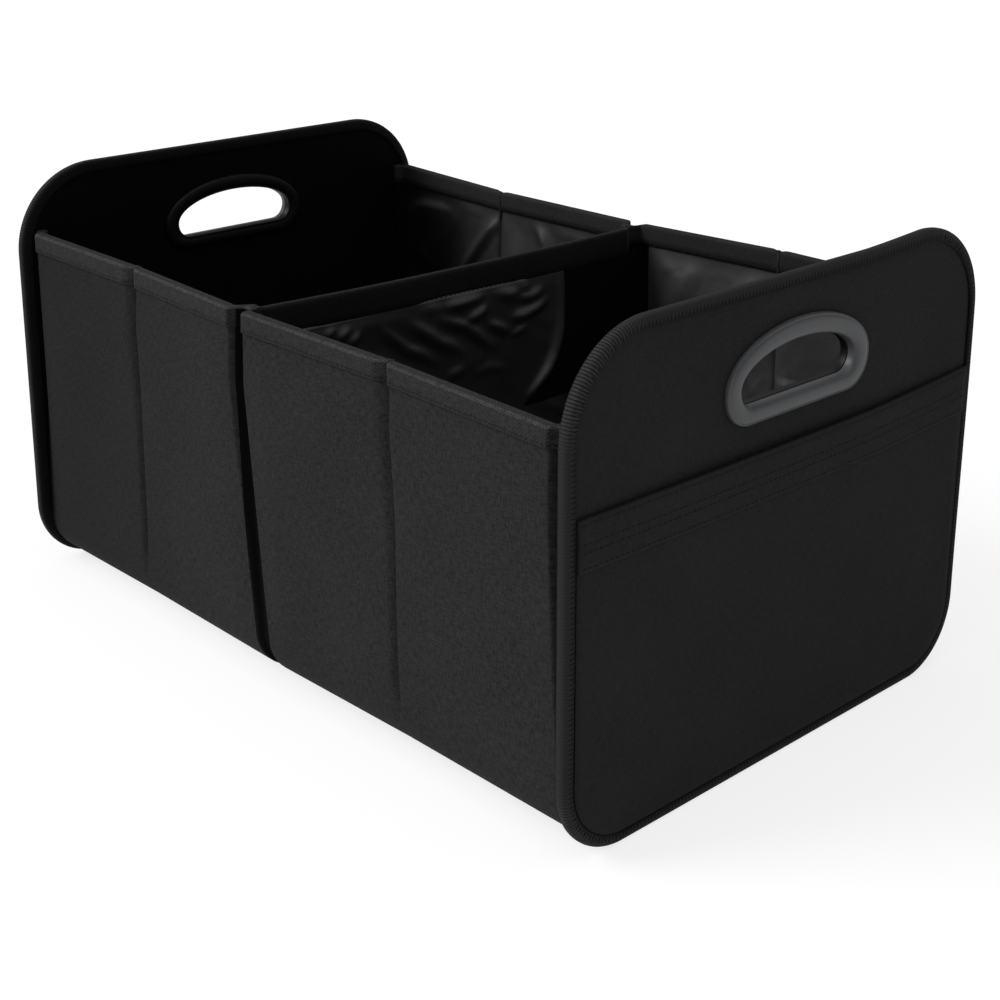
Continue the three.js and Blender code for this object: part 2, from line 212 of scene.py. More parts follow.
# %% Helper for sheets
def sheet_grid(name, points, flat, facing, thickness, smooth=True):
    """points is rows x columns x 3; flat gives the place of each point on the uncut cloth."""
    rows, columns = points.shape[:2]
    deselect()
    bpy.ops.mesh.primitive_grid_add(x_subdivisions=columns - 1, y_subdivisions=rows - 1, size=2)
    piece = named(name)
    mesh, spots = piece.data, points_of(piece)
    column = np.rint((spots[:, 0] + 1) / 2 * (columns - 1)).astype(int)
    row = np.rint((spots[:, 1] + 1) / 2 * (rows - 1)).astype(int)
    i, j = rows // 2, columns // 2
    across = points[i, min(j + 1, columns - 1)] - points[i, j - 1]
    upward = points[min(i + 1, rows - 1), j] - points[i - 1, j]
    if np.dot(np.cross(across, upward), facing) < 0:
        points = points[:, ::-1]
        flat = flat[:, ::-1]
    corner = np.empty(len(mesh.loops), dtype=int)
    mesh.loops.foreach_get("vertex_index", corner)
    mesh.uv_layers[0].data.foreach_set("uv", flat[row[corner], column[corner]].ravel())
    put_points(piece, points[row, column])
    if thickness:
        apply_modifier(piece, "SOLIDIFY", thickness=thickness, offset=-1, use_even_offset=False)
    if smooth:
        pick(piece)
        bpy.ops.object.shade_smooth()
    return piece


def measured(path):
    """Length along a line of points, at each of them."""
    steps = np.linalg.norm(np.diff(path, axis=0), axis=1)
    return np.concatenate([[0], np.cumsum(steps)])


def flat_grid(rows_at, columns_at):
    return np.stack(np.meshgrid(columns_at, rows_at), axis=-1)


print("sheet helper ready")

# %% [markdown]
# Cloth is never quite even, so folds, sags and thread swellings come from a smooth noise.
# It is made from random heights on a coarse net, blended in between. The seed is fixed,
# so each run gives the same folds.

# %% Noise for folds
def net_noise(seed, u, v):
    """Smooth noise from 0 to 1, one hill or dip for each unit of u and v."""
    heights = np.random.RandomState(seed).rand(64, 64)
    column, row = np.floor(u).astype(int), np.floor(v).astype(int)
    a, b = u - column, v - row
    a, b = a * a * (3 - 2 * a), b * b * (3 - 2 * b)
    left = heights[column % 64, row % 64] * (1 - b) + heights[column % 64, (row + 1) % 64] * b
    right = (heights[(column + 1) % 64, row % 64] * (1 - b)
             + heights[(column + 1) % 64, (row + 1) % 64] * b)
    return left * (1 - a) + right * a


def ridges(seed, u, v, sharp):
    """Narrow crests with wide hollows between them, from 0 to 1."""
    return (1 - np.abs(2 * net_noise(seed, u, v) - 1)) ** sharp


def ramp(value, start, end):
    share = np.clip((value - start) / (end - start), 0, 1)
    return share * share * (3 - 2 * share)


print("noise ready, mean", round(float(net_noise(1, np.arange(9.), np.arange(9.)).mean()), 3))

# %% [markdown]
# The colours are all near black, so what tells the materials apart is their surface.
# Six effects are made as node groups and placed in the materials with their own values:
# a plain weave, a ribbed tape, a thin shiny lining, the grain of moulded plastic, the
# uneven tone of dyed cloth, and a painted shade that takes the light tone away from the
# parts that lie in shade deep in the box. A picture of cloth would be simpler, but it
# would repeat and blur when it is seen from near.

# %% Node helpers
def ink(code):
    """A colour as it is written for a screen, turned into the light it stands for."""
    values = [int(code[i:i + 2], 16) / 255 for i in (0, 2, 4)]
    return [v / 12.92 if v < 0.04045 else ((v + 0.055) / 1.055) ** 2.4 for v in values] + [1]


def new_group(name, inputs, outputs):
    tree = bpy.data.node_groups.new(name, "ShaderNodeTree")
    for label, kind, value in inputs:
        made = tree.interface.new_socket(label, in_out="INPUT", socket_type=kind)
        if value is not None:
            made.default_value = value
    for label in outputs:
        tree.interface.new_socket(label, in_out="OUTPUT", socket_type="NodeSocketFloat")
    return tree, tree.nodes.new("NodeGroupInput"), tree.nodes.new("NodeGroupOutput")


def feed(tree, target, source):
    if isinstance(source, bpy.types.NodeSocket):
        tree.links.new(source, target)
    else:
        target.default_value = source


def work(tree, operation, *sources):
    made = tree.nodes.new("ShaderNodeMath")
    made.operation = operation
    for target, source in zip(made.inputs, sources):
        feed(tree, target, source)
    return made.outputs[0]


def clamped(tree, source):
    return work(tree, "MINIMUM", work(tree, "MAXIMUM", source, 0.0), 1.0)


def noise(tree, where, scale, detail=2.0, stretch=(1, 1, 1)):
    mapping = tree.nodes.new("ShaderNodeMapping")
    mapping.inputs["Scale"].default_value = stretch
    feed(tree, mapping.inputs["Vector"], where)
    made = tree.nodes.new("ShaderNodeTexNoise")
    made.inputs["Scale"].default_value = scale
    made.inputs["Detail"].default_value = detail
    tree.links.new(mapping.outputs[0], made.inputs["Vector"])
    return made.outputs["Fac"]


print("node helpers ready")

# %% Weave, rib, lining, grain and dye groups
def weave_group():
    tree, given, made = new_group("plain_weave", [
        ("Vector", "NodeSocketVector", None), ("Pitch", "NodeSocketFloat", 0.0006),
        ("Unevenness", "NodeSocketFloat", 0.4), ("Slubs", "NodeSocketFloat", 1.4),
        ("Grid", "NodeSocketFloat", 0.12)],
        ["Height", "Shade"])
    where = given.outputs["Vector"]
    parts = tree.nodes.new("ShaderNodeSeparateXYZ")
    tree.links.new(where, parts.inputs[0])
    wobble = work(tree, "MULTIPLY", work(tree, "SUBTRACT", noise(tree, where, 260), 0.5),
                  given.outputs["Unevenness"])
    waves = []
    for axis in (0, 1):
        turns = work(tree, "DIVIDE", parts.outputs[axis], given.outputs["Pitch"])
        waves.append(work(tree, "SINE", work(tree, "MULTIPLY", work(tree, "ADD", turns, wobble),
                                             math.pi)))
    both = work(tree, "MULTIPLY", *waves)
    pillow = work(tree, "POWER", work(tree, "ABSOLUTE", both), 0.6)
    swell = work(tree, "ADD", noise(tree, where, 950, 1, (0.25, 1, 1)),
                 noise(tree, where, 950, 1, (1, 0.22, 1)))
    swell = work(tree, "SUBTRACT", swell, 1.0)
    tree.links.new(work(tree, "ADD", work(tree, "MULTIPLY", pillow, 0.6), swell),
                   made.inputs["Height"])
    shade = work(tree, "MULTIPLY_ADD", swell, given.outputs["Slubs"],
                 work(tree, "MULTIPLY_ADD", both, given.outputs["Grid"], 0.5))
    tree.links.new(clamped(tree, shade), made.inputs["Shade"])
    return tree


def rib_group():
    """X of the vector runs along the tape and Y across it, from its outer lap inwards."""
    tree, given, made = new_group("ribbed_tape", [
        ("Vector", "NodeSocketVector", None), ("Pitch", "NodeSocketFloat", 0.0018),
        ("Gather", "NodeSocketFloat", 0.5), ("Lap Edge Shade", "NodeSocketFloat", 0.0),
        ("Painted Shade From", "NodeSocketFloat", 1.0)], ["Height", "Shade"])
    where = given.outputs["Vector"]
    parts = tree.nodes.new("ShaderNodeSeparateXYZ")
    tree.links.new(where, parts.inputs[0])
    along = work(tree, "DIVIDE", parts.outputs[0], given.outputs["Pitch"])
    along = work(tree, "ADD", along, work(tree, "MULTIPLY", noise(tree, where, 150), 0.5))
    rib = work(tree, "ABSOLUTE", work(tree, "SINE", work(tree, "MULTIPLY", along, math.pi)))
    thread = work(tree, "ABSOLUTE", work(tree, "SINE", work(tree, "MULTIPLY", parts.outputs[1],
                                                            math.pi / 0.00045)))
    strength = work(tree, "MULTIPLY_ADD", given.outputs["Gather"], 0.86, 0.14)
    height = work(tree, "ADD", work(tree, "MULTIPLY", rib, strength),
                  work(tree, "MULTIPLY", thread, 0.2))
    tree.links.new(height, made.inputs["Height"])
    worn = work(tree, "MULTIPLY_ADD", noise(tree, where, 420), 0.8, 0.5)
    shade = work(tree, "MULTIPLY", rib, worn)
    shade = work(tree, "MULTIPLY_ADD", work(tree, "SUBTRACT", shade, 0.45), strength, 0.45)
    # painted shade: a dark strip along the outer lap's edge, where the tape steps onto the cover
    lap_edge_shade = work(tree, "SUBTRACT", 1.0, work(tree, "DIVIDE", parts.outputs[1], 0.0032))
    lap_edge_shade = work(tree, "MULTIPLY", work(tree, "MAXIMUM", lap_edge_shade, 0.0),
                        given.outputs["Lap Edge Shade"])
    shade = work(tree, "SUBTRACT", shade, lap_edge_shade)
    # painted shade: the tape is darkened from the middle of its roll to its inner lap, which lies
    # in shade
    turned = work(tree, "SUBTRACT", parts.outputs[1], given.outputs["Painted Shade From"])
    turned = clamped(tree, work(tree, "DIVIDE", turned, 0.0025))
    shade = work(tree, "MULTIPLY", shade, work(tree, "MULTIPLY_ADD", turned, -0.9, 1.0))
    tree.links.new(clamped(tree, shade), made.inputs["Shade"])
    return tree


def lining_group():
    tree, given, made = new_group("thin_lining", [
        ("Vector", "NodeSocketVector", None)], ["Height", "Shade"])
    where = given.outputs["Vector"]
    threads = noise(tree, where, 2600, 1, (1, 0.12, 1))
    creases = noise(tree, where, 70, 3, (1, 0.45, 1))
    tree.links.new(work(tree, "ADD", work(tree, "MULTIPLY", threads, 0.12), creases),
                   made.inputs["Height"])
    tree.links.new(noise(tree, where, 22, 3), made.inputs["Shade"])
    return tree


def grain_group():
    tree, given, made = new_group("moulded_grain", [
        ("Vector", "NodeSocketVector", None)], ["Height", "Shade"])
    where = given.outputs["Vector"]
    fine = noise(tree, where, 2200, 2)
    wide = noise(tree, where, 300, 2)
    tree.links.new(work(tree, "ADD", work(tree, "MULTIPLY", fine, 0.6),
                        work(tree, "MULTIPLY", wide, 0.4)), made.inputs["Height"])
    tree.links.new(noise(tree, where, 40, 4), made.inputs["Shade"])
    return tree


def dye_group():
    tree, given, made = new_group("dyed_tone", [
        ("Vector", "NodeSocketVector", None), ("Fine", "NodeSocketFloat", 0.5)], ["Tone"])
    where = given.outputs["Vector"]
    wide = noise(tree, where, 18, 3)
    fine = noise(tree, where, 650, 2)
    blend = work(tree, "ADD", wide, work(tree, "MULTIPLY", work(tree, "SUBTRACT", fine, 0.5),
                                         given.outputs["Fine"]))
    tree.links.new(clamped(tree, blend), made.inputs["Tone"])
    return tree


def painted_shade_group():
    """Painted shade: takes the light tone away where the cloth lies in shade."""
    tree, given, made = new_group("painted_shade_share", [
        ("Share", "NodeSocketFloat", 0.5), ("Painted Shade", "NodeSocketFloat", 0.0)], ["Share"])
    left = work(tree, "SUBTRACT", 1.0, given.outputs["Painted Shade"])
    tree.links.new(work(tree, "MULTIPLY", given.outputs["Share"], left), made.inputs["Share"])
    return tree


GROUPS = {"weave": weave_group(), "rib": rib_group(), "lining": lining_group(),
          "grain": grain_group(), "dye": dye_group(), "fade": painted_shade_group()}
print("node groups:", sorted(GROUPS))

# %% [markdown]
# Each finish then mixes a darker and a lighter tone of its colour by its own pattern and
# raises the same pattern as fine bumps. Roughness, sheen and the like are the same all
# over a finish, so they are set on the shader itself.

# %% Finishes
def placed(tree, effect):
    made = tree.nodes.new("ShaderNodeGroup")
    made.node_tree = GROUPS[effect]
    return made


def reading(tree, label):
    made = tree.nodes.new("ShaderNodeAttribute")
    made.attribute_name = label
    return made.outputs["Fac"]


def finish(name, surface, dark, light, roughness, depth, values=None, sheen=0.0, coords="UV",
           specular=0.3, fine=0.6, pattern_share=0.45, paints_shade=False):
    made = bpy.data.materials.new(name)
    made.use_nodes = True
    tree = made.node_tree
    shader = tree.nodes["Principled BSDF"]
    shader.inputs["Roughness"].default_value = roughness
    shader.inputs["Specular IOR Level"].default_value = specular
    shader.inputs["Sheen Weight"].default_value = sheen
    shader.inputs["Sheen Roughness"].default_value = 0.4
    where = tree.nodes.new("ShaderNodeTexCoord").outputs[coords]
    pattern = placed(tree, surface)
    tree.links.new(where, pattern.inputs["Vector"])
    for key, value in (values or {}).items():
        feed(tree, pattern.inputs[key], reading(tree, value) if isinstance(value, str) else value)
    dye = placed(tree, "dye")
    dye.inputs["Fine"].default_value = fine
    tree.links.new(where, dye.inputs["Vector"])
    mix = tree.nodes.new("ShaderNodeMix")
    mix.data_type = "RGBA"
    mix.inputs["A"].default_value = ink(dark)
    mix.inputs["B"].default_value = ink(light)
    share = work(tree, "MULTIPLY_ADD", pattern.outputs[1], pattern_share,
                 work(tree, "MULTIPLY", dye.outputs["Tone"], 1 - pattern_share))
    # painted shade: the light tone is taken away where the points carry a painted shade value
    if paints_shade:
        fade = placed(tree, "fade")
        tree.links.new(share, fade.inputs["Share"])
        tree.links.new(reading(tree, "painted_shade"), fade.inputs["Painted Shade"])
        share = fade.outputs["Share"]
    tree.links.new(share, mix.inputs["Factor"])
    tree.links.new(mix.outputs["Result"], shader.inputs["Base Color"])
    bump = tree.nodes.new("ShaderNodeBump")
    bump.inputs["Strength"].default_value = 1.0
    bump.inputs["Distance"].default_value = depth
    tree.links.new(pattern.outputs["Height"], bump.inputs["Height"])
    tree.links.new(bump.outputs["Normal"], shader.inputs["Normal"])
    return made


FINISHES = {
    "woven": finish("black_canvas", "weave", "181818", "2f2f2f", 0.9, 0.00010,
                    {"Pitch": 0.00062, "Slubs": 1.0}, specular=0.12, pattern_share=0.6),
    "wall": finish("black_wall_canvas", "weave", "171717", "343434", 0.9, 0.00014,
                   {"Pitch": 0.00062, "Slubs": 1.5}, specular=0.12, pattern_share=0.7, paints_shade=True),
    "rim": finish("black_rim_canvas", "weave", "171717", "373737", 0.9, 0.00018,
                  {"Pitch": 0.0011, "Slubs": 1.2, "Grid": 0.3}, sheen=0.03, specular=0.12,
                  pattern_share=0.8),
    # painted highlight: the rim canvas drawn lighter for the rounded top of the front rims
    "rim_highlight": finish("rim_canvas_painted_highlight", "weave", "1f1f1f", "4a4a4a", 0.9, 0.00018,
                       {"Pitch": 0.0011, "Slubs": 1.2, "Grid": 0.3}, sheen=0.03, specular=0.12,
                       pattern_share=0.8),
    "rim_inside": finish("black_back_canvas", "weave", "171717", "333333", 0.9, 0.0001,
                         {"Pitch": 0.0010, "Slubs": 1.0}, specular=0.12),
    # the divider band's canvas; on the floor boards it is painted shade
    "edge": finish("band_canvas_and_board_painted_shade", "weave", "0c0c0c", "202020", 0.9, 0.0001,
                   {"Pitch": 0.00062, "Slubs": 1.0}, sheen=0.05, specular=0.12),
    # painted shade: the canvas drawn as it looks in shade, for the inner covers, turned-in ends
    # and the flat divider lining
    "dark": finish("painted_shade_canvas", "weave", "070707", "0f0f0f", 0.95, 0.0001,
                   {"Pitch": 0.00062}, specular=0.05),
    # painted shade on the tape's lap edge and inner half
    "tape": finish("ribbed_black_tape", "rib", "0a0a0a", "3c3c3c", 0.85, 0.00035,
                   {"Lap Edge Shade": 0.6, "Gather": "gather", "Painted Shade From": 0.0105}, sheen=0.03,
                   specular=0.1, pattern_share=1.0),
    "lining": finish("shiny_lining", "lining", "090909", "464646", 0.55, 0.0004, specular=0.3,
                     paints_shade=True),
    "divider": finish("shiny_divider_lining", "lining", "0a0a0a", "282828", 0.42, 0.0004,
                      specular=1.0, paints_shade=True),
    "board": finish("grey_board", "grain", "35322d", "45413b", 0.85, 0.0002, coords="Object"),
    "grip": finish("grey_plastic", "grain", "414244", "4d4e50", 0.45, 0.00003, coords="Object",
                   specular=0.35),
    "counter": finish("black_plastic", "grain", "060607", "0c0c0d", 0.5, 0.00003,
                      coords="Object", specular=0.22),
    "thread": finish("black_thread", "rib", "060607", "111112", 0.7, 0.00008,
                     {"Pitch": 0.0004}, coords="Object", specular=0.15),
}
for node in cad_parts.values():
    node.data.materials.clear()
    node.data.materials.append(FINISHES["board"])
print("finishes:", sorted(FINISHES))

# %% [markdown]
# A finished piece gets its finish, rides on the frame's one body and hides the node of
# the frame it stands for. One helper does this for every piece, and keeps a list.

# %% Helper for finished pieces
PIECES = []


def hand_over(piece, look, *nodes, record_slot=None):
    piece.data.materials.clear()
    piece.data.materials.append(FINISHES[look])
    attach(piece, "root")
    if nodes:
        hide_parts(*nodes)
    PIECES.append(piece.name)
    return piece


def mark_painted_shade(piece, shade_at):
    """Writes on the points of a piece how much painted shade takes its light tone away there."""
    mark_points(piece, "painted_shade", shade_at(*points_of(piece).T))


print("hand-over helper ready")

# %% [markdown]
# The grip is a D that lies on its straight side, an arch on two short uprights. A circle
# is scaled to the arch, cut in half, pulled down to the foot and rounded at its two foot
# corners. The same steps with other sizes give the slot and the outer edge of the ring,
# with as many points, so every line between them is a blend of the two.

# %% Arched outline
def arch_outline(half, foot, top, radius):
    """The outline as points in order, in the plane of the end wall, middle at Y = 0."""
    deselect()
    bpy.ops.mesh.primitive_circle_add(vertices=96, radius=1, fill_type="NGON",
                                      location=(0, 0, SHOULDER),
                                      rotation=(math.pi / 2, 0, math.pi / 2))
    arch = named("arch_outline")
    arch.scale = (half, top - SHOULDER, 1)
    set_down(arch)
    choose_all(arch, "FACE")
    bpy.ops.mesh.bisect(plane_co=(0, 0, SHOULDER), plane_no=(0, 0, 1), clear_inner=True)
    choose(arch, "EDGE", lambda middle, part: part.calc_length() > half)
    bpy.ops.mesh.extrude_region_move(TRANSFORM_OT_translate={"value": (0, 0, foot - SHOULDER)})
    choose(arch, "EDGE", lambda middle, part: part.calc_length() > half
           and abs(middle.z - SHOULDER) < MM / 10)
    bpy.ops.mesh.dissolve_edges(use_verts=False)
    choose(arch, "VERT", lambda middle, part: middle.z < foot + MM / 10)
    bpy.ops.mesh.bevel(offset=radius, segments=10, affect="VERTICES", clamp_overlap=False)
    close_editing()
    order = arch.data.polygons[0].vertices
    points = points_of(arch)[list(order)]
    remove(arch)
    return points


SLOT_LINE = arch_outline(**SLOT)
FLANGE_LINE = arch_outline(**FLANGE)
print("arch points:", len(SLOT_LINE), len(FLANGE_LINE))

# %% [markdown]
# The ring is one moulding: a crowned rim on the canvas, a rounded sill and a throat that
# lines the slot. Its section is written once, as lines between the slot and the outer
# edge, and the outline is extruded from line to line until it meets itself. Insetting
# would do for an even rim, but this rim is narrower at its foot than at its sides. The
# inner half of the throat, behind a small groove, is black like the ring at the back.

# %% Ring from a section
def blended(share, x, middle):
    points = SLOT_LINE + (FLANGE_LINE - SLOT_LINE) * share
    return np.stack([np.full(len(points), x), points[:, 1] + middle, points[:, 2]], axis=1)


def extruded_ring(name, section, middle, turned):
    """section is a list of (share from slot to outer edge, x), round the ring's profile."""
    loops = [blended(share, x * MM, middle) for share, x in section]
    count = len(loops[0])
    deselect()
    bpy.ops.mesh.primitive_circle_add(vertices=count, radius=1, fill_type="NOTHING")
    ring = named(name)
    put_points(ring, loops[0])
    choose_all(ring, "EDGE")
    mesh = bmesh.from_edit_mesh(ring.data)
    mesh.verts.ensure_lookup_table()
    old = list(mesh.verts)
    for points in loops[1:]:
        spots = {tuple(np.round(v.co, 7)): i for i, v in enumerate(old)}
        bpy.ops.mesh.extrude_region_move(TRANSFORM_OT_translate={"value": (0, 0, 0)})
        mesh = bmesh.from_edit_mesh(ring.data)
        fresh = [v for v in mesh.verts if v.select]
        order = [spots[tuple(np.round(v.co, 7))] for v in fresh]
        old = [v for _, v in sorted(zip(order, fresh), key=lambda pair: pair[0])]
        for vertex, point in zip(old, points):
            vertex.co = point
        bmesh.update_edit_mesh(ring.data)
    choose(ring, "EDGE", lambda middle, part: len(part.link_faces) == 1)
    bpy.ops.mesh.bridge_edge_loops()
    bpy.ops.mesh.select_all(action="SELECT")
    bpy.ops.mesh.normals_make_consistent(inside=False)
    close_editing()
    if turned:
        ring.rotation_euler = (0, 0, math.pi)
        set_down(ring)
    pick(ring)
    bpy.ops.object.shade_smooth_by_angle(angle=math.radians(38))
    return ring


RIM_SECTION = [
    (1.0, 249.15), (1.0, 250.2), (0.985, 251.0), (0.95, 251.45), (0.915, 251.6),
    (0.885, 251.5), (0.865, 251.38), (0.845, 251.5), (0.80, 251.8), (0.65, 252.02),
    (0.45, 252.08), (0.28, 251.95), (0.16, 251.6), (0.08, 251.05), (0.025, 250.2), (0.0, 249.2),
    (0.0, 246.4), (0.045, 246.1), (0.045, 245.6), (0.0, 245.3), (0.0, 241.4), (0.03, 240.95),
    (0.155, 240.95), (0.155, 249.15)]
COUNTER_SECTION = [
    (0.18, 243.25), (0.18, 241.7), (0.21, 241.25), (0.28, 241.0), (0.5, 240.92), (0.66, 241.0),
    (0.76, 241.35), (0.815, 241.95), (0.83, 242.6), (0.83, 243.25)]
for end, side in ENDS.items():
    shift = GRIP_SHIFT[end] * side
    ring = extruded_ring(f"{end}_ring_moulding", RIM_SECTION, shift, side < 0)
    hand_over(ring, "grip", f"{end}_grip_ring")
    ring.data.materials.append(FINISHES["counter"])
    for face in ring.data.polygons:
        face.material_index = int(abs(face.center.x) < 245.8 * MM)
    back = extruded_ring(f"{end}_ring_back", COUNTER_SECTION, shift, side < 0)
    hand_over(back, "counter", f"{end}_grip_counter_ring")
    print(end, "ring faces:", len(ring.data.polygons), "back:", len(back.data.polygons))

# %% [markdown]
# The end wall is a board in two canvas covers. The edge tape presses each cover down at
# its border, and the grip clamps it round the slot. The cover is a grid that is rounded
# at its corners, moved by these small depths and cut at the slot with a block.

# %% Corner rounding of a flat grid
def corner_rounds(low, top, low_radius, top_radius):
    """Radius, height of the centre and way out, for the foot and the top corners."""
    return (low_radius, low + low_radius, -1), (top_radius, top - top_radius, 1)


def rounded_panel(half, low, top, low_radius, top_radius, step):
    """Places of a grid in a plate with round corners, and how far each is from its edge."""
    columns = np.linspace(-half, half, int(2 * half / step) + 1)
    rows = np.linspace(low, top, int((top - low) / step) + 1)
    y, z = np.meshgrid(columns, rows)
    for sign in (-1, 1):
        for radius, centre_z, up in corner_rounds(low, top, low_radius, top_radius):
            centre_y = sign * (half - radius)
            out_y, out_z = (y - centre_y) * sign, (z - centre_z) * up
            corner = (out_y > 0) & (out_z > 0)
            reach = np.hypot(out_y, out_z)
            pull = np.where(corner, np.maximum(out_y, out_z) / np.maximum(reach, 1e-9), 1)
            y = np.where(corner, centre_y + (y - centre_y) * pull, y)
            z = np.where(corner, centre_z + (z - centre_z) * pull, z)
    return y, z


def border_distance(y, z, half, low, top, low_radius, top_radius):
    far = np.minimum(np.minimum(half - np.abs(y), z - low), top - z)
    for radius, centre_z, up in corner_rounds(low, top, low_radius, top_radius):
        out_y, out_z = np.abs(y) - (half - radius), (z - centre_z) * up
        corner = (out_y > 0) & (out_z > 0)
        far = np.where(corner, radius - np.hypot(out_y, out_z), far)
    return far


def slot_block(share, middle, turned):
    """A block the shape of the slot, a little wider, to cut a cover with."""
    outline = blended(share, 0.236, middle)
    deselect()
    bpy.ops.mesh.primitive_circle_add(vertices=len(outline), radius=1, fill_type="NGON")
    block = named("slot_block")
    put_points(block, outline)
    choose_all(block, "FACE")
    bpy.ops.mesh.extrude_region_move(TRANSFORM_OT_translate={"value": (0.02, 0, 0)})
    bpy.ops.mesh.select_all(action="SELECT")
    bpy.ops.mesh.normals_make_consistent(inside=False)
    close_editing()
    if turned:
        block.rotation_euler = (0, 0, math.pi)
        set_down(block)
    return block


print("panel helpers ready")

# %% End covers
def end_cover(end, name, face_x, outward, node):
    """face_x is how far the seen face stands from the middle of the organizer."""
    side = ENDS[end]
    inset = 1.2 * MM
    sizes = (END_HALF - inset, inset, END_TOP - inset, END_FOOT_RADIUS - inset,
             END_TOP_RADIUS - inset)
    y, z = rounded_panel(*sizes, 4 * MM)
    edge = border_distance(y, z, *sizes) + inset
    pressed = 0.25 * MM * (1 - ramp(edge, BINDING - 2 * MM, BINDING + 5 * MM))
    puckers = 0.22 * MM * net_noise(3 + side, y / 0.045 + 9, z / 0.03 + 9)
    puckers *= ramp(edge, BINDING, BINDING + 12 * MM)
    x = side * (face_x + outward * (puckers - pressed - 0.2 * MM))
    points = np.stack([x, y, z], axis=-1)
    flat = np.stack([y, z], axis=-1)
    cover = sheet_grid(name, points, flat, (side * outward, 0, 0), CLOTH - 0.2 * MM)
    block = slot_block(0.19, GRIP_SHIFT[end] * side, side < 0)
    apply_modifier(cover, "BOOLEAN", operation="DIFFERENCE", object=block, solver="EXACT")
    remove(block)
    # painted shade: the inner cover is the same canvas drawn dark, as it lies in shade
    hand_over(cover, "woven" if outward > 0 else "dark", node, record_slot="woven")
    return cover


for end in ENDS:
    outer = end_cover(end, f"{end}_outer_canvas", 248.8 * MM, 1, f"{end}_end_outer_cover")
    inner = end_cover(end, f"{end}_inner_canvas", 243.6 * MM, -1, f"{end}_end_inner_cover")
    print(end, "cover faces:", len(outer.data.polygons), len(inner.data.polygons))

# %% [markdown]
# The edge tape is a woven strip folded over the edge of the end wall and sewn through.
# It is laid as a sheet: one line of points runs round the wall, and at each point the
# strip's section goes from the lap on the outer face over the edge to the lap inside.
# Its ribs run across the strip, so the UV map counts along it and across it. At the
# corners the strip is gathered and its ribs stand out, which a value on its points tells
# the finish.

# %% Line round an end wall
def end_edge(step):
    """Points on the outer edge of the end wall and the outward direction at each."""
    points, outward = [], []
    corners = [((1, -1), END_FOOT_RADIUS, -math.pi / 2), ((1, 1), END_TOP_RADIUS, 0),
               ((-1, 1), END_TOP_RADIUS, math.pi / 2), ((-1, -1), END_FOOT_RADIUS, math.pi)]
    for (right, up), radius, start in corners:
        centre_y = right * (END_HALF - radius)
        centre_z = END_TOP - radius if up > 0 else radius
        for angle in np.linspace(start, start + math.pi / 2, int(radius * 1.57 / step) + 1):
            way = np.array([math.cos(angle), math.sin(angle)])
            points.append(np.array([centre_y, centre_z]) + way * radius)
            outward.append(way)
    filled, ways = [], []
    for i, point in enumerate(points):
        after = points[(i + 1) % len(points)]
        gap = np.linalg.norm(after - point)
        count = max(1, int(gap / step))
        for k in range(count):
            filled.append(point + (after - point) * k / count)
            ways.append(outward[i])
    filled.append(filled[0])
    ways.append(ways[0])
    return np.array(filled), np.array(ways)


EDGE, EDGE_WAY = end_edge(2.6 * MM)
EDGE_ALONG = measured(EDGE)
print("tape length round an end wall:", round(float(EDGE_ALONG[-1]), 3))

# %% Edge tape
TAPE_SECTION = [  # inset from the edge and place through the wall, in millimetres
    (7.0, 249.1), (6.8, 249.4), (6.3, 249.7), (5.6, 249.9), (4.2, 250.0), (2.9, 249.95),
    (1.8, 249.65), (0.9, 249.05), (0.3, 248.15), (0.05, 247.2), (0.0, 246.2), (0.05, 245.2),
    (0.3, 244.25), (0.9, 243.35), (1.8, 242.75), (2.9, 242.45), (4.2, 242.4), (5.8, 242.4),
    (6.7, 242.45), (6.95, 242.75), (7.0, 243.25)]


def edge_tape(end):
    side = ENDS[end]
    inset = np.array([s[0] for s in TAPE_SECTION]) * MM
    through = np.array([s[1] for s in TAPE_SECTION]) * MM
    wave = 0.16 * MM * (net_noise(11, EDGE_ALONG / 0.035, EDGE_ALONG * 0) - 0.5)
    wave *= np.sin(math.pi * EDGE_ALONG / EDGE_ALONG[-1]) ** 0.2
    lap = inset[None, :] + wave[:, None] * (inset[None, :] > 5 * MM)
    place = EDGE[:, None, :] - EDGE_WAY[:, None, :] * lap[:, :, None]
    x = np.broadcast_to(side * through, place.shape[:2])
    points = np.concatenate([x[:, :, None], place], axis=2)
    across = measured(np.stack([inset, through], axis=1))
    flat = np.stack(np.meshgrid(EDGE_ALONG, across, indexing="ij"), axis=-1)
    middle = points[points.shape[0] // 2, points.shape[1] // 2]
    outward = middle - np.array([middle[0], 0, END_TOP / 2])
    tape = sheet_grid(f"{end}_edge_tape", points, flat, outward, 0.55 * MM)
    merge_points(tape, MM / 50)
    y, z = np.abs(points_of(tape)[:, 1]), points_of(tape)[:, 2]
    gather = np.zeros(len(y))
    for radius, up in ((END_TOP_RADIUS, z - (END_TOP - END_TOP_RADIUS)),
                       (END_FOOT_RADIUS, END_FOOT_RADIUS - z)):
        out = y - (END_HALF - radius)
        turn = np.sin(2 * np.arctan2(np.maximum(up, 0), np.maximum(out, 1e-9)))
        gather = np.maximum(gather, np.minimum(1.5 * turn, 1) * (out > 0))
    mark_points(tape, "gather", gather)
    return hand_over(tape, "tape", f"{end}_end_binding")


for end in ENDS:
    tape = edge_tape(end)
    print(end, "edge tape faces:", len(tape.data.polygons))

# %% [markdown]
# Stitches hold the tape. One stitch is modelled, a short rounded thread that dips into
# the cloth at both ends, and it is then set down along the seam at its pitch. On the edge
# tape the stitches lie across its lap, like the rungs of a ladder; elsewhere they lie along
# the seam. All the stitches of a seam are one piece, and each has only a few dozen faces.

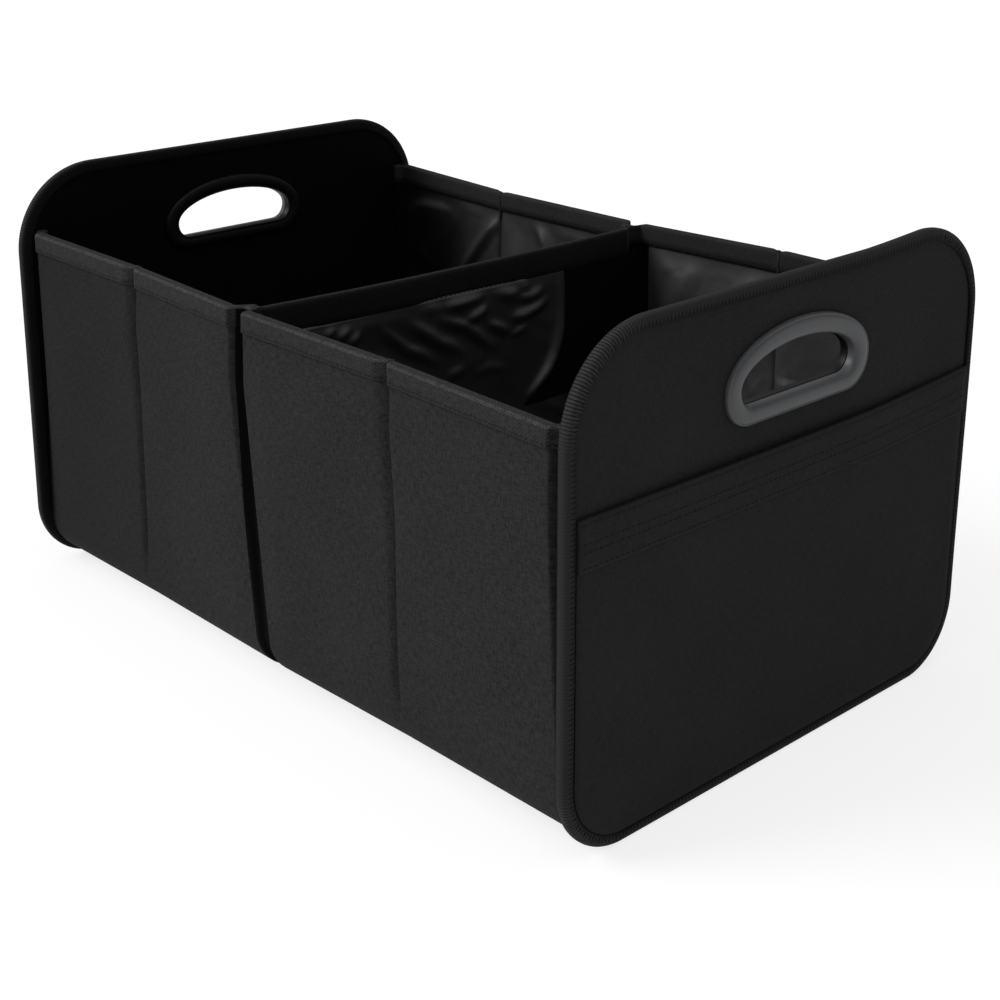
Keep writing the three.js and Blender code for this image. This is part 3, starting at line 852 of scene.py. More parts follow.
# %% Stitches
def one_stitch(length, thick):
    deselect()
    bpy.ops.mesh.primitive_uv_sphere_add(segments=6, ring_count=5, radius=1,
                                         rotation=(0, math.pi / 2, 0))
    stitch = named("one_stitch")
    stitch.scale = (thick / 2, thick / 2, length / 2)
    set_down(stitch)
    points = points_of(stitch)
    faces = [list(p.vertices) for p in stitch.data.polygons]
    remove(stitch)
    return points, faces


def stitch_seam(name, path, outward, pitch=3.6 * MM, length=2.7 * MM, thick=0.5 * MM,
                across=False):
    """path is a line of points on the cloth, outward the way its face looks."""
    shape, faces = one_stitch(length, thick)
    along = measured(path)
    places = np.arange(pitch / 2, along[-1], pitch)

    def line_at(spots):
        return np.stack([np.interp(spots, along, path[:, k]) for k in range(3)], axis=1)

    centre = line_at(places)
    way = line_at(places + pitch / 4) - line_at(places - pitch / 4)
    way /= np.linalg.norm(way, axis=1)[:, None]
    up = np.array(outward, dtype=float)
    up = up - way * np.sum(up * way, axis=1)[:, None]
    up /= np.linalg.norm(up, axis=1)[:, None]
    beside = np.cross(up, way)
    if across:
        way, beside = beside, -way
    points = (centre[:, None, :] + way[:, None, :] * shape[None, :, 0:1]
              + beside[:, None, :] * shape[None, :, 1:2] + up[:, None, :] * shape[None, :, 2:3])
    count = len(shape)
    all_faces = [[i + k * count for i in face] for k in range(len(places)) for face in faces]
    mesh = bpy.data.meshes.new(name)
    mesh.from_pydata(points.reshape(-1, 3).tolist(), [], all_faces)
    seam = bpy.data.objects.new(name, mesh)
    bpy.context.collection.objects.link(seam)
    pick(seam)
    bpy.ops.object.shade_smooth()
    hand_over(seam, "thread", record_slot="tape")
    return len(places)


EDGE_STITCH = dict(pitch=2.6 * MM, length=3.2 * MM, thick=0.65 * MM, across=True)
EDGE_STITCH_LINE = EDGE - EDGE_WAY * 4.4 * MM
for end, side in ENDS.items():
    for face, depth, way in (("outer", 250.02, 1), ("inner", 242.38, -1)):
        path = np.column_stack([np.full(len(EDGE), side * depth * MM), EDGE_STITCH_LINE])
        made = stitch_seam(f"{end}_{face}_edge_stitches", path, (side * way, 0, 0), **EDGE_STITCH)
        print(end, face, "edge stitches:", made)

# %% [markdown]
# On the outside of each end wall a flat pocket is caught in the edge tape at its sides
# and foot. Its free top edge carries a wide band with rows of stitches. Such a pocket
# never lies quite flat, so its top stands a little off the wall in the middle.

# %% End pockets
POCKET = (END_HALF - 7.3 * MM, 7.3 * MM, POCKET_TOP, END_FOOT_RADIUS - 7.3 * MM)
BAND_DROPS = np.array([0.9, 0.25, 0, 0, 0, 0, 0, 0, 0.2]) * MM
BAND_LEVELS = np.array([181.2, 181.2, 180.9, 175, 170, 165, 160, 155, 154.5]) * MM
POCKET_SEAMS = (178.6, 168.8, 164.4, 156.4)


def pocket_lift(y, z):
    middle = 1 - (y / POCKET[0]) ** 2
    rise = ramp(z, 60 * MM, POCKET_TOP)
    wave = net_noise(21, y / 0.05 + 9, z / 0.04)
    return 1.9 * MM * middle * rise + 0.35 * MM * wave * rise * middle


for end, side in ENDS.items():
    half, low, top, radius = POCKET
    y, z = rounded_panel(half, low, top, radius, 0.001 * MM, 4 * MM)
    points = np.stack([side * (OUTER_X + pocket_lift(y, z)), y, z], axis=-1)
    pocket = sheet_grid(f"{end}_pocket_canvas", points, points[..., 1:], (side, 0, 0), CLOTH)
    hand_over(pocket, "woven", f"{end}_pocket")
    y, z = np.meshgrid(np.linspace(-half, half, 80), BAND_LEVELS)
    x = side * (251.2 * MM - BAND_DROPS[:, None] + pocket_lift(y, z))
    points = np.stack([x, y, z], axis=-1)
    band = sheet_grid(f"{end}_pocket_tape", points, points[..., 1:], (side, 0, 0), TAPE)
    hand_over(band, "woven", f"{end}_pocket_band", record_slot="tape")
    y = np.linspace(half - 2 * MM, -half + 2 * MM, 60)
    for number, level in enumerate(POCKET_SEAMS):
        z = np.full(60, level * MM)
        path = np.column_stack([side * (251.25 * MM + pocket_lift(y, z)), y, z])
        stitch_seam(f"{end}_pocket_stitches_{number}", path, (side, 0, 0))
    print(end, "pocket faces:", len(pocket.data.polygons))

# %% [markdown]
# The long walls are the cloth of two modules. Each module is one length of cloth, up one
# wall, over the floor and up the other, with stiff panels between it and its lining. The
# cloth turns in where it is sewn to an end wall or at the middle seam, and each wall has
# a crease at which it folds flat. The section is drawn once and moved along the length.

# %% Shape of the long walls
def module_sizes(x):
    side = np.where(x > SEAM_X, 1, -1)
    start = SEAM_X + side * SEAM_GAP
    end = side * MODULE_END
    return start, end, (start + end) / 2


def turned_in(distance, size, depth, flat=0.35):
    """flat is the share of the size that lies at the full depth."""
    return depth * (1 - ramp(distance / size, flat, 1))


def mid_depth(z):
    share = np.clip((z - CURL_Z) / (WALL_TOP - CURL_Z), 0, 1)
    return MID_ROLL_FOOT + (MID_ROLL - MID_ROLL_FOOT) * share


def roll_widths(x, z):
    """How wide the cloth turns in at the middle seam and at the end wall."""
    rise = ramp(z, 20 * MM, 185 * MM)
    middle = np.where(x > SEAM_X, 4.5 * MM, (6 + 5 * rise) * MM)
    end = np.where(x > SEAM_X, (6.5 + 6 * rise) * MM, 7 * MM)
    return middle, end


def wall_depth(x, z):
    """How far the wall lies in from its flat place."""
    start, end, crease = module_sizes(x)
    middle_width, end_width = roll_widths(x, z)
    fold = CREASE_DEPTH * (1 - np.abs((x - crease) / (end - crease)))
    fold = fold * np.clip((z - BODY_FLOOR) / (CURL_Z - BODY_FLOOR), 0, 1)
    end_depth = END_ROLL * (0.15 + 0.85 * ramp(z, 20 * MM, 190 * MM))
    return (fold + turned_in(np.abs(x - start), middle_width, mid_depth(z))
            + turned_in(np.abs(end - x), end_width, end_depth, np.where(x > SEAM_X, 0.7, 0.35)))


def moved_in(y, z, depth):
    core_y = np.clip(y, -CURL_Y, CURL_Y)
    core_z = np.maximum(z, CURL_Z)
    reach = np.maximum(np.hypot(core_y - y, core_z - z), 1e-9)
    return y + depth * (core_y - y) / reach, z + depth * (core_z - z) / reach


print("wall depth at the seam:", round(float(wall_depth(np.array(-4.4 * MM), np.array(.22))), 4))

# %% [markdown]
# A new organizer that has just been unfolded doesn't stand quite true: the middle seam
# leans and wavers, the walls bow and the rim drops towards the near end. One smooth
# movement does this to all the soft pieces alike, so layers that lie on each other still
# do. It is a few millimetres, written at five places along the length and four heights,
# for the front and the back wall apart, and all but the lift of the rims fades to
# nothing at the two end walls.

# %% How the body has settled
SPOTS = np.array([-243.6, -124.5, -5.0, 119.5, 243.6]) * MM
HEIGHTS = np.array([12, 72, 185, 229]) * MM
FRONT_LEAN = np.array([[0, -5.5, 8.5, -1.8, 0], [0, -4.0, 2.5, -2.5, 0],
                       [0, -1.0, -7.5, -6.5, 0], [0, -0.5, -5.0, -8.0, 0]]) * MM
BACK_LEAN = np.array([[0, -3.0, 8.0, 4.0, 0], [0, -3.0, 7.5, 4.0, 0],
                      [0, -2.7, 6.0, 4.0, 0], [0, -2.5, 5.0, 4.0, 0]]) * MM
FRONT_BOW = np.array([0, 1.5, 3.0, 1.5, 0]) * MM
BACK_BOW = np.array([0, 0.0, -1.5, 0.0, 0]) * MM
FRONT_LIFT = np.array([0.8, -0.9, -2.0, -4.8, -7.3]) * MM
BACK_LIFT = np.array([2.0, -1.0, -2.8, 2.0, -0.5]) * MM


def by_height(rows, x, z):
    lines = [np.interp(x, SPOTS, row) for row in rows]
    value = lines[0]
    for k in range(1, len(rows)):
        share = np.clip((z - HEIGHTS[k - 1]) / (HEIGHTS[k] - HEIGHTS[k - 1]), 0, 1)
        value = value + (lines[k] - lines[k - 1]) * share
    return value


def settled(points):
    x, y, z = points[..., 0], points[..., 1], points[..., 2]
    rise = np.clip(z / WALL_TOP, 0, 1.05)
    way = np.clip((y + BODY_HALF) / (2 * BODY_HALF), 0, 1)
    front_lean = by_height(FRONT_LEAN, x, z)
    lean = front_lean + (by_height(BACK_LEAN, x, z) - front_lean) * way
    front, back = np.interp(x, SPOTS, FRONT_BOW), np.interp(x, SPOTS, BACK_BOW)
    bow = front + (back - front) * way
    front, back = np.interp(x, SPOTS, FRONT_LIFT), np.interp(x, SPOTS, BACK_LIFT)
    lift = (front + (back - front) * way) * rise ** 2
    return np.stack([x + lean, y - bow * (0.4 + 0.6 * rise), z + lift], axis=-1)


print("lean at the top of the seam:", settled(np.array([-.005, -.157, .229])).round(4))

# %% Section of a sling
def sling_section(wall_offset, floor_offset, top, wall_step, curl_points, floor_points):
    """Points from the front rim down, over the floor and up to the back rim."""
    half = BODY_HALF - wall_offset
    curl_high = CURL_Z - BODY_FLOOR - floor_offset
    levels = np.linspace(top, CURL_Z, int((top - CURL_Z) / wall_step) + 1)
    angles = np.linspace(math.pi, 1.5 * math.pi, curl_points)[1:]
    front = [(-half, z) for z in levels]
    front += [(-CURL_Y + (half - CURL_Y) * math.cos(a), CURL_Z + curl_high * math.sin(a))
              for a in angles]
    front = np.array(front)
    floor = np.linspace(-CURL_Y, CURL_Y, floor_points)[1:-1]
    middle = np.column_stack([floor, np.full(len(floor), CURL_Z - curl_high)])
    back = front[::-1] * np.array([-1, 1])
    return np.concatenate([front, middle, back])


def module_columns(module, gap, step):
    """Places along a module, closer together where the cloth turns in."""
    side = ENDS[module]
    start = SEAM_X + side * (SEAM_GAP + gap)
    end = side * MODULE_END
    crease = float(module_sizes(np.array(end))[2])
    close = np.array([0.4, 0.9, 1.5, 2.3, 3.3, 4.6]) * MM
    parts = [start + side * np.linspace(0, 12 * MM, 25), [crease], crease - close, crease + close,
             np.linspace(start + side * 12 * MM, crease - side * 6 * MM, int(0.105 / step)),
             np.linspace(crease + side * 6 * MM, end - side * 18 * MM, int(0.1 / step)),
             end - side * np.linspace(18 * MM, 0, 24)]
    return np.unique(np.concatenate(parts).round(7))


def swept(section, columns, extra):
    """Rows follow the section and columns the length."""
    x = np.broadcast_to(columns[None, :], (len(section), len(columns)))
    y = np.broadcast_to(section[:, 0:1], x.shape)
    z = np.broadcast_to(section[:, 1:2], x.shape)
    in_y, in_z = moved_in(y, z, wall_depth(x, z) + extra(x, y, z))
    return settled(np.stack([x, in_y, in_z], axis=-1))


print("section points:", len(sling_section(0, 0, STACK_TOP, 5 * MM, 9, 30)))

# %% [markdown]
# The outer cloth is heavy canvas over panels, so it stays calm: shallow swells between
# the seams are all that shows, and a narrow groove where it dips between two panels at
# the crease. Its turned-in end at the middle seam gets painted shade, a dark strip for
# the shade in the seam's recess.

# %% Outer cloth
def outer_swell(x, y, z):
    start, end, crease = module_sizes(x)
    side = np.sign(y)
    clear = ramp(np.minimum(np.abs(x - start), np.abs(end - x)), 4 * MM, 25 * MM)
    wall = ramp(z, CURL_Z - 12 * MM, CURL_Z + 25 * MM)
    swell = 2.6 * MM * (0.15 - net_noise(31, x / 0.055 + side * 7, z / 0.07 + 5))
    swell *= 1 - ramp(z, 190 * MM, 214 * MM)
    out = (x - crease) / MM
    up = ramp(z, 110 * MM, 215 * MM)
    groove = np.where(out < 0, np.clip(1 + out / (5 + 3.5 * up), 0, 1) ** 1.2, np.exp(-out / 0.7))
    groove = groove * (3.2 + 2.6 * up) * MM
    groove *= 1 - ramp(BODY_HALF - np.abs(y), -0.5 * MM, 4 * MM) * (z > CURL_Z)
    return (swell * clear + groove) * wall


SEAM_SHADE_WIDTH = {"near": 1.5 * MM, "far": 7.5 * MM}


def finish_by_place(piece, looks, choice):
    """Adds the looks and gives each face the one that choice names, by its flat place."""
    for look in looks:
        piece.data.materials.append(FINISHES[look])
    places = piece.data.uv_layers[0].data
    for face in piece.data.polygons:
        face.material_index = int(choice(*places[face.loop_start].uv))


for module, side in ENDS.items():
    section = sling_section(0, 0, STACK_TOP, 4 * MM, 10, 40)
    columns = module_columns(module, 0, 3 * MM)
    points = swept(section, columns, outer_swell)
    across = measured(section)
    flat = flat_grid(across, columns - columns[0])
    cloth = sheet_grid(f"{module}_wall_canvas", points, flat, (0, 0, -1), CLOTH)
    hand_over(cloth, "wall", f"{module}_outer_cloth")
    seam_at = 0 if side > 0 else columns[-1] - columns[0]
    # painted shade: the faces nearest the middle seam take the dark finish, for the shade in the
    # seam
    finish_by_place(cloth, ["dark"],
                    lambda along, up: abs(along - seam_at) < SEAM_SHADE_WIDTH[module])
    # painted shade: the far module's wall canvas darkens towards the far end
    mark_painted_shade(cloth, lambda x, y, z: 0.42 * ramp(-x, 40 * MM, 200 * MM))
    print(module, "wall canvas faces:", len(cloth.data.polygons))

# %% [markdown]
# The stiff panels sit between the cloth and the lining. They are hidden, and the frame
# has them already, so copies of its own panels are moved with the cloth around them. They
# are kept short of the crease and of the turned-in ends, where the cloth dips.

# %% Wall panels
PANEL_FROM_CREASE = 9 * MM
PANEL_FROM_END = 19 * MM


def wall_panel(node, name):
    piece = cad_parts[node].copy()
    piece.data = piece.data.copy()
    piece.name = piece.data.name = name
    bpy.context.collection.objects.link(piece)
    piece.parent = None
    for key in list(piece.keys()):
        del piece[key]
    merge_points(piece, MM / 100)
    spots = points_of(piece)
    crease = module_sizes(spots.mean(axis=0)[0])[2]
    out = spots[:, 0] - crease
    reach = (MODULE_END - abs(SEAM_X)) / 2 - PANEL_FROM_END
    spots[:, 0] = crease + np.sign(out) * np.clip(np.abs(out), PANEL_FROM_CREASE, reach)
    put_points(piece, settled(spots))
    hand_over(piece, "board", node)


for module in ENDS:
    for wall in ("front", "back"):
        for place in ("inner", "outer"):
            wall_panel(f"{module}_{wall}_{place}_board", f"{module}_{wall}_{place}_panel")
print("panels moved with the cloth: 8")

# %% [markdown]
# Over the lining of each floor lie two loose boards in canvas, drawn darker as painted
# shade since they lie in shadow. Each is a thin block with rounded edges.

# %% Base boards
def base_board(node, name):
    low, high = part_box(node)
    deselect()
    bpy.ops.mesh.primitive_cube_add(size=1, location=(low + high) / 2)
    board = named(name)
    board.scale = high - low
    set_down(board)
    choose_all(board, "EDGE")
    bpy.ops.mesh.bevel(offset=1.2 * MM, segments=3, affect="EDGES")
    bpy.ops.mesh.select_all(action="SELECT")
    bpy.ops.uv.cube_project(cube_size=1.0)
    close_editing()
    put_points(board, settled(points_of(board)))
    pick(board)
    bpy.ops.object.shade_smooth_by_angle(angle=math.radians(30))
    # painted shade: the boards take a darker canvas, as they lie in shadow
    return hand_over(board, "edge", node, record_slot="woven")


for module in ENDS:
    for place in ("inner", "outer"):
        board = base_board(f"{module}_{place}_base_board", f"{module}_{place}_floor_board")
        print(board.name, "faces:", len(board.data.polygons))

# %% [markdown]
# The lining is thin and shiny and larger than the walls it covers, so it lies in folds.
# The large ones are drawn where they lie on the real piece, each as a line of points with
# a width and a height. Small ones from the noise fan out from the top of each crease and
# cross them. All stand up from the panels behind, towards the inside only. A simulated
# cloth would fold as freely, but not in these places.

# %% Drawn folds
def crest(a, b, path, width):
    """A fold, 1 along the middle of the path, fading beside it and towards its ends."""
    nearest, place, passed = np.ones(np.shape(a)), np.zeros(np.shape(a)), 0.0
    spots = np.array(path) * MM
    for start, stop in zip(spots[:-1], spots[1:]):
        way = stop - start
        share = np.clip(((a - start[0]) * way[0] + (b - start[1]) * way[1]) / (way @ way), 0, 1)
        reach = np.hypot(a - start[0] - share * way[0], b - start[1] - share * way[1])
        length = np.hypot(*way)
        place = np.where(reach < nearest, passed + share * length, place)
        nearest = np.minimum(nearest, reach)
        passed += length
    low, high = -0.1 * passed, 0.4 * passed
    taper = ramp(place, low, high) * ramp(passed - place, low, high)
    return taper * np.exp(-(nearest / (width * MM)) ** 1.7)


def highest(a, b, crests):
    """crests is a list of (height, width, path), all in millimetres."""
    height = np.zeros(np.shape(a))
    for rise, width, path in crests:
        height = np.maximum(height, rise * MM * crest(a, b, path, width))
    return height


print("a crest fades to", round(float(crest(0.0, 0.005, [(-9, 0), (9, 0)], 4)), 2))

# %% Lining
FAR_FOLD = [(-234, 194), (-225, 201), (-213, 205), (-193, 206), (-172, 204)]
BACK_CRESTS = [
    (2.2, 5.0, [(-180, 211), (-160, 212), (-138, 209)]),
    (5.5, 5.0, [(-116, 216), (-132, 203), (-142, 191), (-160, 171), (-176, 145)]),
    (4.6, 4.5, [(-98, 218), (-86, 206), (-79, 194), (-75, 176)]),
    (2.0, 4.5, [(-80, 211), (-58, 210), (-36, 208)]),
    (3.4, 4.4, FAR_FOLD),
    (2.6, 5.0, [(-223, 168), (-211, 166), (-202, 158)]),
    (4.5, 16, [(-108, 205), (-106, 180), (-110, 140)]),
    (2.4, 9.0, [(14, 208), (27, 203), (44, 204)]),
    (5.0, 14.0, [(34, 218), (43, 203), (38, 190), (27, 172), (18, 145)]),
    (6.0, 24.0, [(40, 176), (85, 172), (120, 168)]),
    (1.6, 8.0, [(50, 201), (73, 206), (94, 203)]),
    (3.4, 9.0, [(112, 216), (101, 209), (93, 200), (74, 184)]),
    (1.4, 7.0, [(112, 214), (140, 214)])]


def lining_folds(x, y, z):
    start, end, crease = module_sizes(x)
    out = x - crease
    drop = STACK_TOP - HEM - z
    angle = np.arctan2(out, drop + 26 * MM)
    fan = ridges(41, angle * 4.2 + 20 + np.sign(y) * 3, np.hypot(out, drop) / 0.09, 2.2)
    cross = ridges(43, (x + 0.6 * z) / 0.022 + 30, (z - 0.5 * x) / 0.05 + 30, 2.5)
    cross2 = ridges(47, (x - 0.8 * z) / 0.017 + 30, (z + 0.5 * x) / 0.045 + 30, 3)
    height = 2.2 * MM * fan + 1.2 * MM * cross + 0.8 * MM * cross2
    height *= np.where((y > 0) & (z > 150 * MM), 0.35, 1.0)
    height = np.maximum(height, highest(x, z, BACK_CRESTS) * (y > 0))
    beside = 1.8 * MM * np.exp(-(out / (18 * MM)) ** 2)
    height = (height + beside) * (1 - np.exp(-np.abs(out) / (2.0 * MM)))
    fade = ramp(drop, -2 * MM, 15 * MM) * ramp(z, CURL_Z - 5 * MM, CURL_Z + 30 * MM)
    sides = ramp(np.minimum(np.abs(x - start), np.abs(end - x)), 8 * MM, 26 * MM)
    return height * fade * (0.25 + 0.75 * sides)


for module in ENDS:
    section = sling_section(LINING_OFFSET + LINING, FLOOR_OFFSET + LINING, STACK_TOP, 2.1 * MM,
                            10, 30)
    columns = module_columns(module, 2.9 * MM, 2.1 * MM)
    points = swept(section, columns, lining_folds)
    across = measured(section)
    flat = flat_grid(across, columns - columns[0])
    lining = sheet_grid(f"{module}_inside_lining", points, flat, (0, 0, 1), LINING)
    hand_over(lining, "lining", f"{module}_lining")
    length = columns[-1] - columns[0]
    # painted shade: the last 8 mm of lining at each end, where it turns in, take the dark finish
    finish_by_place(lining, ["dark"], lambda along, up: min(along, length - along) < 8 * MM)
    # painted shade: the far compartment's lining is darker, darkest beside the far end wall,
    # except on the lit far fold
    mark_painted_shade(lining, lambda x, y, z: np.maximum(ramp(-x, 135 * MM, 190 * MM), 0.45 * (x < 0))
              * (1 - 0.75 * crest(x, z, FAR_FOLD, 4.4)))
    print(module, "lining faces:", len(lining.data.polygons))

# %% [markdown]
# Each rim is closed with a hem of coarse canvas, folded over cloth, panel and lining and
# sewn along its foot. Its section is an upside-down U, rounded at the top. A painted
# highlight lightens the rounded top of the front rims, and painted shade darkens the far
# module's hem where it turns in at the seam.

# %% Rim hems
HEM_SECTION = [  # inwards from the wall's outer face, and height
    (-1.2, 217.2), (-1.2, 221.0), (-1.2, 226.0), (-1.15, 227.6), (-0.7, 228.5), (0.3, 228.95),
    (2.0, 229.0), (3.6, 229.0), (5.0, 228.9), (5.75, 228.4), (5.9, 227.5), (5.9, 226.0),
    (5.9, 221.0), (5.9, 216.0)]
# painted highlight: the band across the front hem, measured from its foot, drawn in a lighter
# canvas
HIGHLIGHT_BAND = (10.2 * MM, 12.4 * MM)


def hem_look(module, along, up):
    """2 for painted shade at the far hem's end by the seam, 1 for the painted highlight on the
    rounded top of the front leg, otherwise 0.
    """
    if module == "far" and abs(along - SEAM_X) < SEAM_SHADE_WIDTH["far"] and up < 9 * MM:
        return 2
    return HIGHLIGHT_BAND[0] < up < HIGHLIGHT_BAND[1]


for module in ENDS:
    for wall, sign in (("front", -1), ("back", 1)):
        section = np.array([(sign * (BODY_HALF - inward * MM), z * MM)
                            for inward, z in HEM_SECTION])
        columns = module_columns(module, 0.3 * MM, 3 * MM)
        points = swept(section, columns, outer_swell)
        across = measured(section)
        hem = sheet_grid(f"{module}_{wall}_rim_hem", points, flat_grid(across, columns),
                         (0, 0, 1), 0.8 * MM)
        inside = "rim_inside" if module == "far" else "woven"
        look, edge_look = ("rim", "rim_highlight") if sign < 0 else (inside, inside)
        hand_over(hem, look, f"{module}_{wall}_hem", record_slot="tape")
        finish_by_place(hem, [edge_look, "dark"], lambda along, up: hem_look(module, along, up))
        for row, out in ((0, sign), (-1, -sign)):
            stitch_seam(f"{module}_{wall}_rim_stitches_{'out' if row == 0 else 'in'}",
                        points[row] + np.array([0, out * 0.03, 1.6]) * MM, (0, out, 0))
        print(module, wall, "hem faces:", len(hem.data.polygons))

# %% [markdown]
# The divider is a panel in its own lining, closed at the top with a wide band. The loose
# lining falls in slanting folds, and on the near side one large slack fold runs round.
# Beyond that fold the lining lies flat on the panel, and painted shade darkens it there.

# %% Divider folds
DIVIDER_FOOT = 14.3 * MM
SLACK_FOLD = [(80, 203), (80.5, 188), (79.5, 174), (77, 164), (73.5, 155), (69, 147.5), (63, 141),
              (56, 135), (48, 129.5), (40, 125)]
DIVIDER_CRESTS = [
    (2.4, 3.6, [(-66, 204), (-60, 198), (-51, 190), (-42, 182), (-32, 177), (-23, 171),
                (-14, 166)]),
    (3.2, 4.6, [(-45, 202), (-36, 195), (-29, 190), (-18, 182), (-5, 175), (6, 167)]),
    (3.2, 4.2, [(-25, 199), (-15, 195), (1, 188), (10, 182), (18, 174), (27, 169), (33, 167)]),
    (4.4, 4.6, [(-16, 203), (-3, 205), (7, 206), (22, 208)]),
    (3.2, 3.6, [(0, 191), (10, 193), (22, 198)]),
    (3.0, 6.5, [(17, 208), (29, 209), (37, 204), (48, 197)]),
    (3.2, 3.4, [(36, 215), (44, 210), (56, 203)]),
    (3.2, 3.4, [(17, 188), (29, 182), (40, 175)]),
    (2.8, 2.8, [(36, 174), (46, 177), (54, 180)]),
    (3.8, 4.2, [(34, 186), (48, 186), (60, 189), (72, 194)]),
    (2.8, 3.6, [(42, 198), (55, 197), (69, 201)]),
    (5.5, 3.2, SLACK_FOLD),
    (2.0, 3.4, [(-14, 158), (2, 162)]),
    (2.0, 4.2, [(6, 156), (21, 158), (38, 152)]),
    (2.4, 5.0, [(-50, 211), (-32, 210), (-12, 202)]),
    (3.0, 2.8, [(-102, 201), (-93, 208)]),
    (3.0, 2.8, [(-94, 196), (-84, 206)]),
    (3.0, 2.8, [(-86, 192), (-76, 201)])]


def divider_folds(y, z, near):
    wave = ridges(51, (z + 0.55 * y) / 0.019 + 20, (y - 0.5 * z) / 0.07 + 20, 1.8)
    cross = ridges(53, (z - 0.7 * y) / 0.024 + 20, (y + 0.5 * z) / 0.05 + 20, 2.6)
    small = 2.6 * MM * wave + 1.2 * MM * cross
    if not near:
        return small
    ripple = 0.7 * MM * net_noise(57, y / 0.012 + 30, z / 0.016 + 9)
    return np.maximum(small * (0.3 + 0.7 * ramp(140 * MM - z, 0, 25 * MM)),
                      highest(y, z, DIVIDER_CRESTS)) + ripple


def divider_half(z):
    """Half the width of the divider; near the floor it follows the curl of the walls."""
    wide = BODY_HALF - mid_depth(z) - CLOTH - 0.6 * MM
    low = np.clip((CURL_Z - z) / (CURL_Z - 13 * MM), 0, 1)
    return np.where(z < CURL_Z, CURL_Y + (wide - CURL_Y) * np.sqrt(1 - 0.96 * low ** 2), wide)


def divider_grid(top, columns, rows, inset):
    """Places of a grid as wide as the divider at each height."""
    levels = np.linspace(DIVIDER_FOOT, top, rows)
    z = np.broadcast_to(levels[:, None], (rows, columns))
    half = divider_half(z) - inset
    return np.linspace(-1, 1, columns)[None, :] * half, z, half


print("divider is", round(2 * float(divider_half(DIVIDER_TOP)), 3), "wide at its top")

# %% Divider panel and covers
y, z, half = divider_grid(224.6 * MM, 40, 60, 4.9 * MM)
x = np.full(y.shape, SEAM_X + 1.6 * MM)
panel = sheet_grid("divider_panel", settled(np.stack([x, y, z], axis=-1)),
                   np.stack([y, z], axis=-1), (1, 0, 0), 3.2 * MM)
hand_over(panel, "board", "divider_board")
top = DIVIDER_TOP - DIVIDER_BAND - 0.3 * MM
for module, side in ENDS.items():
    y, z, half = divider_grid(top, 150, 96, 0.0)
    edge = np.minimum(np.minimum(half - np.abs(y), top - z), z - DIVIDER_FOOT)
    lift = divider_folds(side * y, z, side > 0) * ramp(edge, 0.5 * MM, 9 * MM)
    x = SEAM_X + side * (2.5 * MM + lift)
    points = settled(np.stack([x, y, z], axis=-1))
    lining = sheet_grid(f"{module}_divider_cover", points, np.stack([y, z], axis=-1),
                        (side, 0, 0), LINING)
    hand_over(lining, "divider", f"{module}_divider_lining", record_slot="lining")
    # painted shade: on the near cover, the lining beyond the slack fold takes the dark finish
    if side > 0:
        lining.data.materials.append(FINISHES["dark"])
        fold_y, fold_z = np.array(SLACK_FOLD[::-1]).T * MM
        for face in lining.data.polygons:
            beyond = face.center.y - np.interp(face.center.z, fold_z, fold_y)
            face.material_index = int(beyond > 4.5 * MM and face.center.z > fold_z[0])
    # painted shade: each divider cover darkens towards its back edge, which lies in shade
    mark_painted_shade(lining, lambda x, y, z: ramp(y, 76 * MM, 98 * MM))
    print(module, "divider cover faces:", len(lining.data.polygons))

# %% Divider band
BAND_SECTION = [(2.75, 210.5), (2.75, 214.0), (2.75, 220.0), (2.7, 225.5), (2.35, 227.2),
                (1.2, 227.95), (0, 228.05), (-1.2, 227.95), (-2.35, 227.2), (-2.7, 225.5),
                (-2.75, 220.0), (-2.75, 214.0), (-2.75, 210.5)]
half = float(divider_half(DIVIDER_TOP)) - 4.6 * MM
columns = np.linspace(-half, half, 90)
section = np.array(BAND_SECTION) * MM
x = SEAM_X + np.broadcast_to(section[:, 0:1], (len(section), len(columns)))
y = np.broadcast_to(columns[None, :], x.shape)
sag = 2.0 * MM * (1 - (columns / half) ** 2)
waver = 1.2 * MM * (net_noise(61, columns / 0.06 + 9, columns * 0) - 0.5)
z = section[:, 1:2] - sag[None, :]
points = settled(np.stack([x + waver[None, :], y, z], axis=-1))
across = measured(section)
band = sheet_grid("divider_band_tape", points, flat_grid(across, columns), (0, 0, 1), 0.8 * MM)
hand_over(band, "edge", "divider_top_band", record_slot="tape")
for row, out in ((0, 1), (-1, -1)):
    for number, up in enumerate((1.4, 3.6, 6.2)):
        stitch_seam(f"divider_stitches_{'near' if out > 0 else 'far'}_{number}",
                    points[row] + np.array([out * 0.05, 0, up]) * MM, (out, 0, 0))
print("divider band faces:", len(band.data.polygons))

# %% [markdown]
# The near end wall isn't quite square: beyond the grip its back edge stands a little
# further out and higher at the top. Its pieces are moved alike, in its own plane.

# %% How the near end wall stands
CORNER_FROM = 63 * MM
CORNER_OUT = 4.0 * MM
CORNER_UP = 6.5 * MM
moved = 0
for name in PIECES:
    piece = bpy.data.objects[name]
    x, y, z = points_of(piece).T
    if x.min() > 240 * MM:
        way = np.clip((y - CORNER_FROM) / (END_HALF - CORNER_FROM), 0, 1)
        y_moved = y + CORNER_OUT * way * ramp(z, 20 * MM, 220 * MM)
        z_moved = z + CORNER_UP * way ** 1.3 * z / END_TOP
        put_points(piece, np.stack([x, y_moved, z_moved], axis=-1))
        moved += 1
print("pieces of the near end wall moved:", moved)

# %% [markdown]
# The organizer stands on a plain pale floor under soft light from the front left and
# above, so the far end wall and the divider shade what lies behind them. The floor shows
# white to the camera by a light of its own, and keeps the soft shadow under the edges.
# To the rest of the scene it is a plain pale grey, so that it lights nothing by itself.

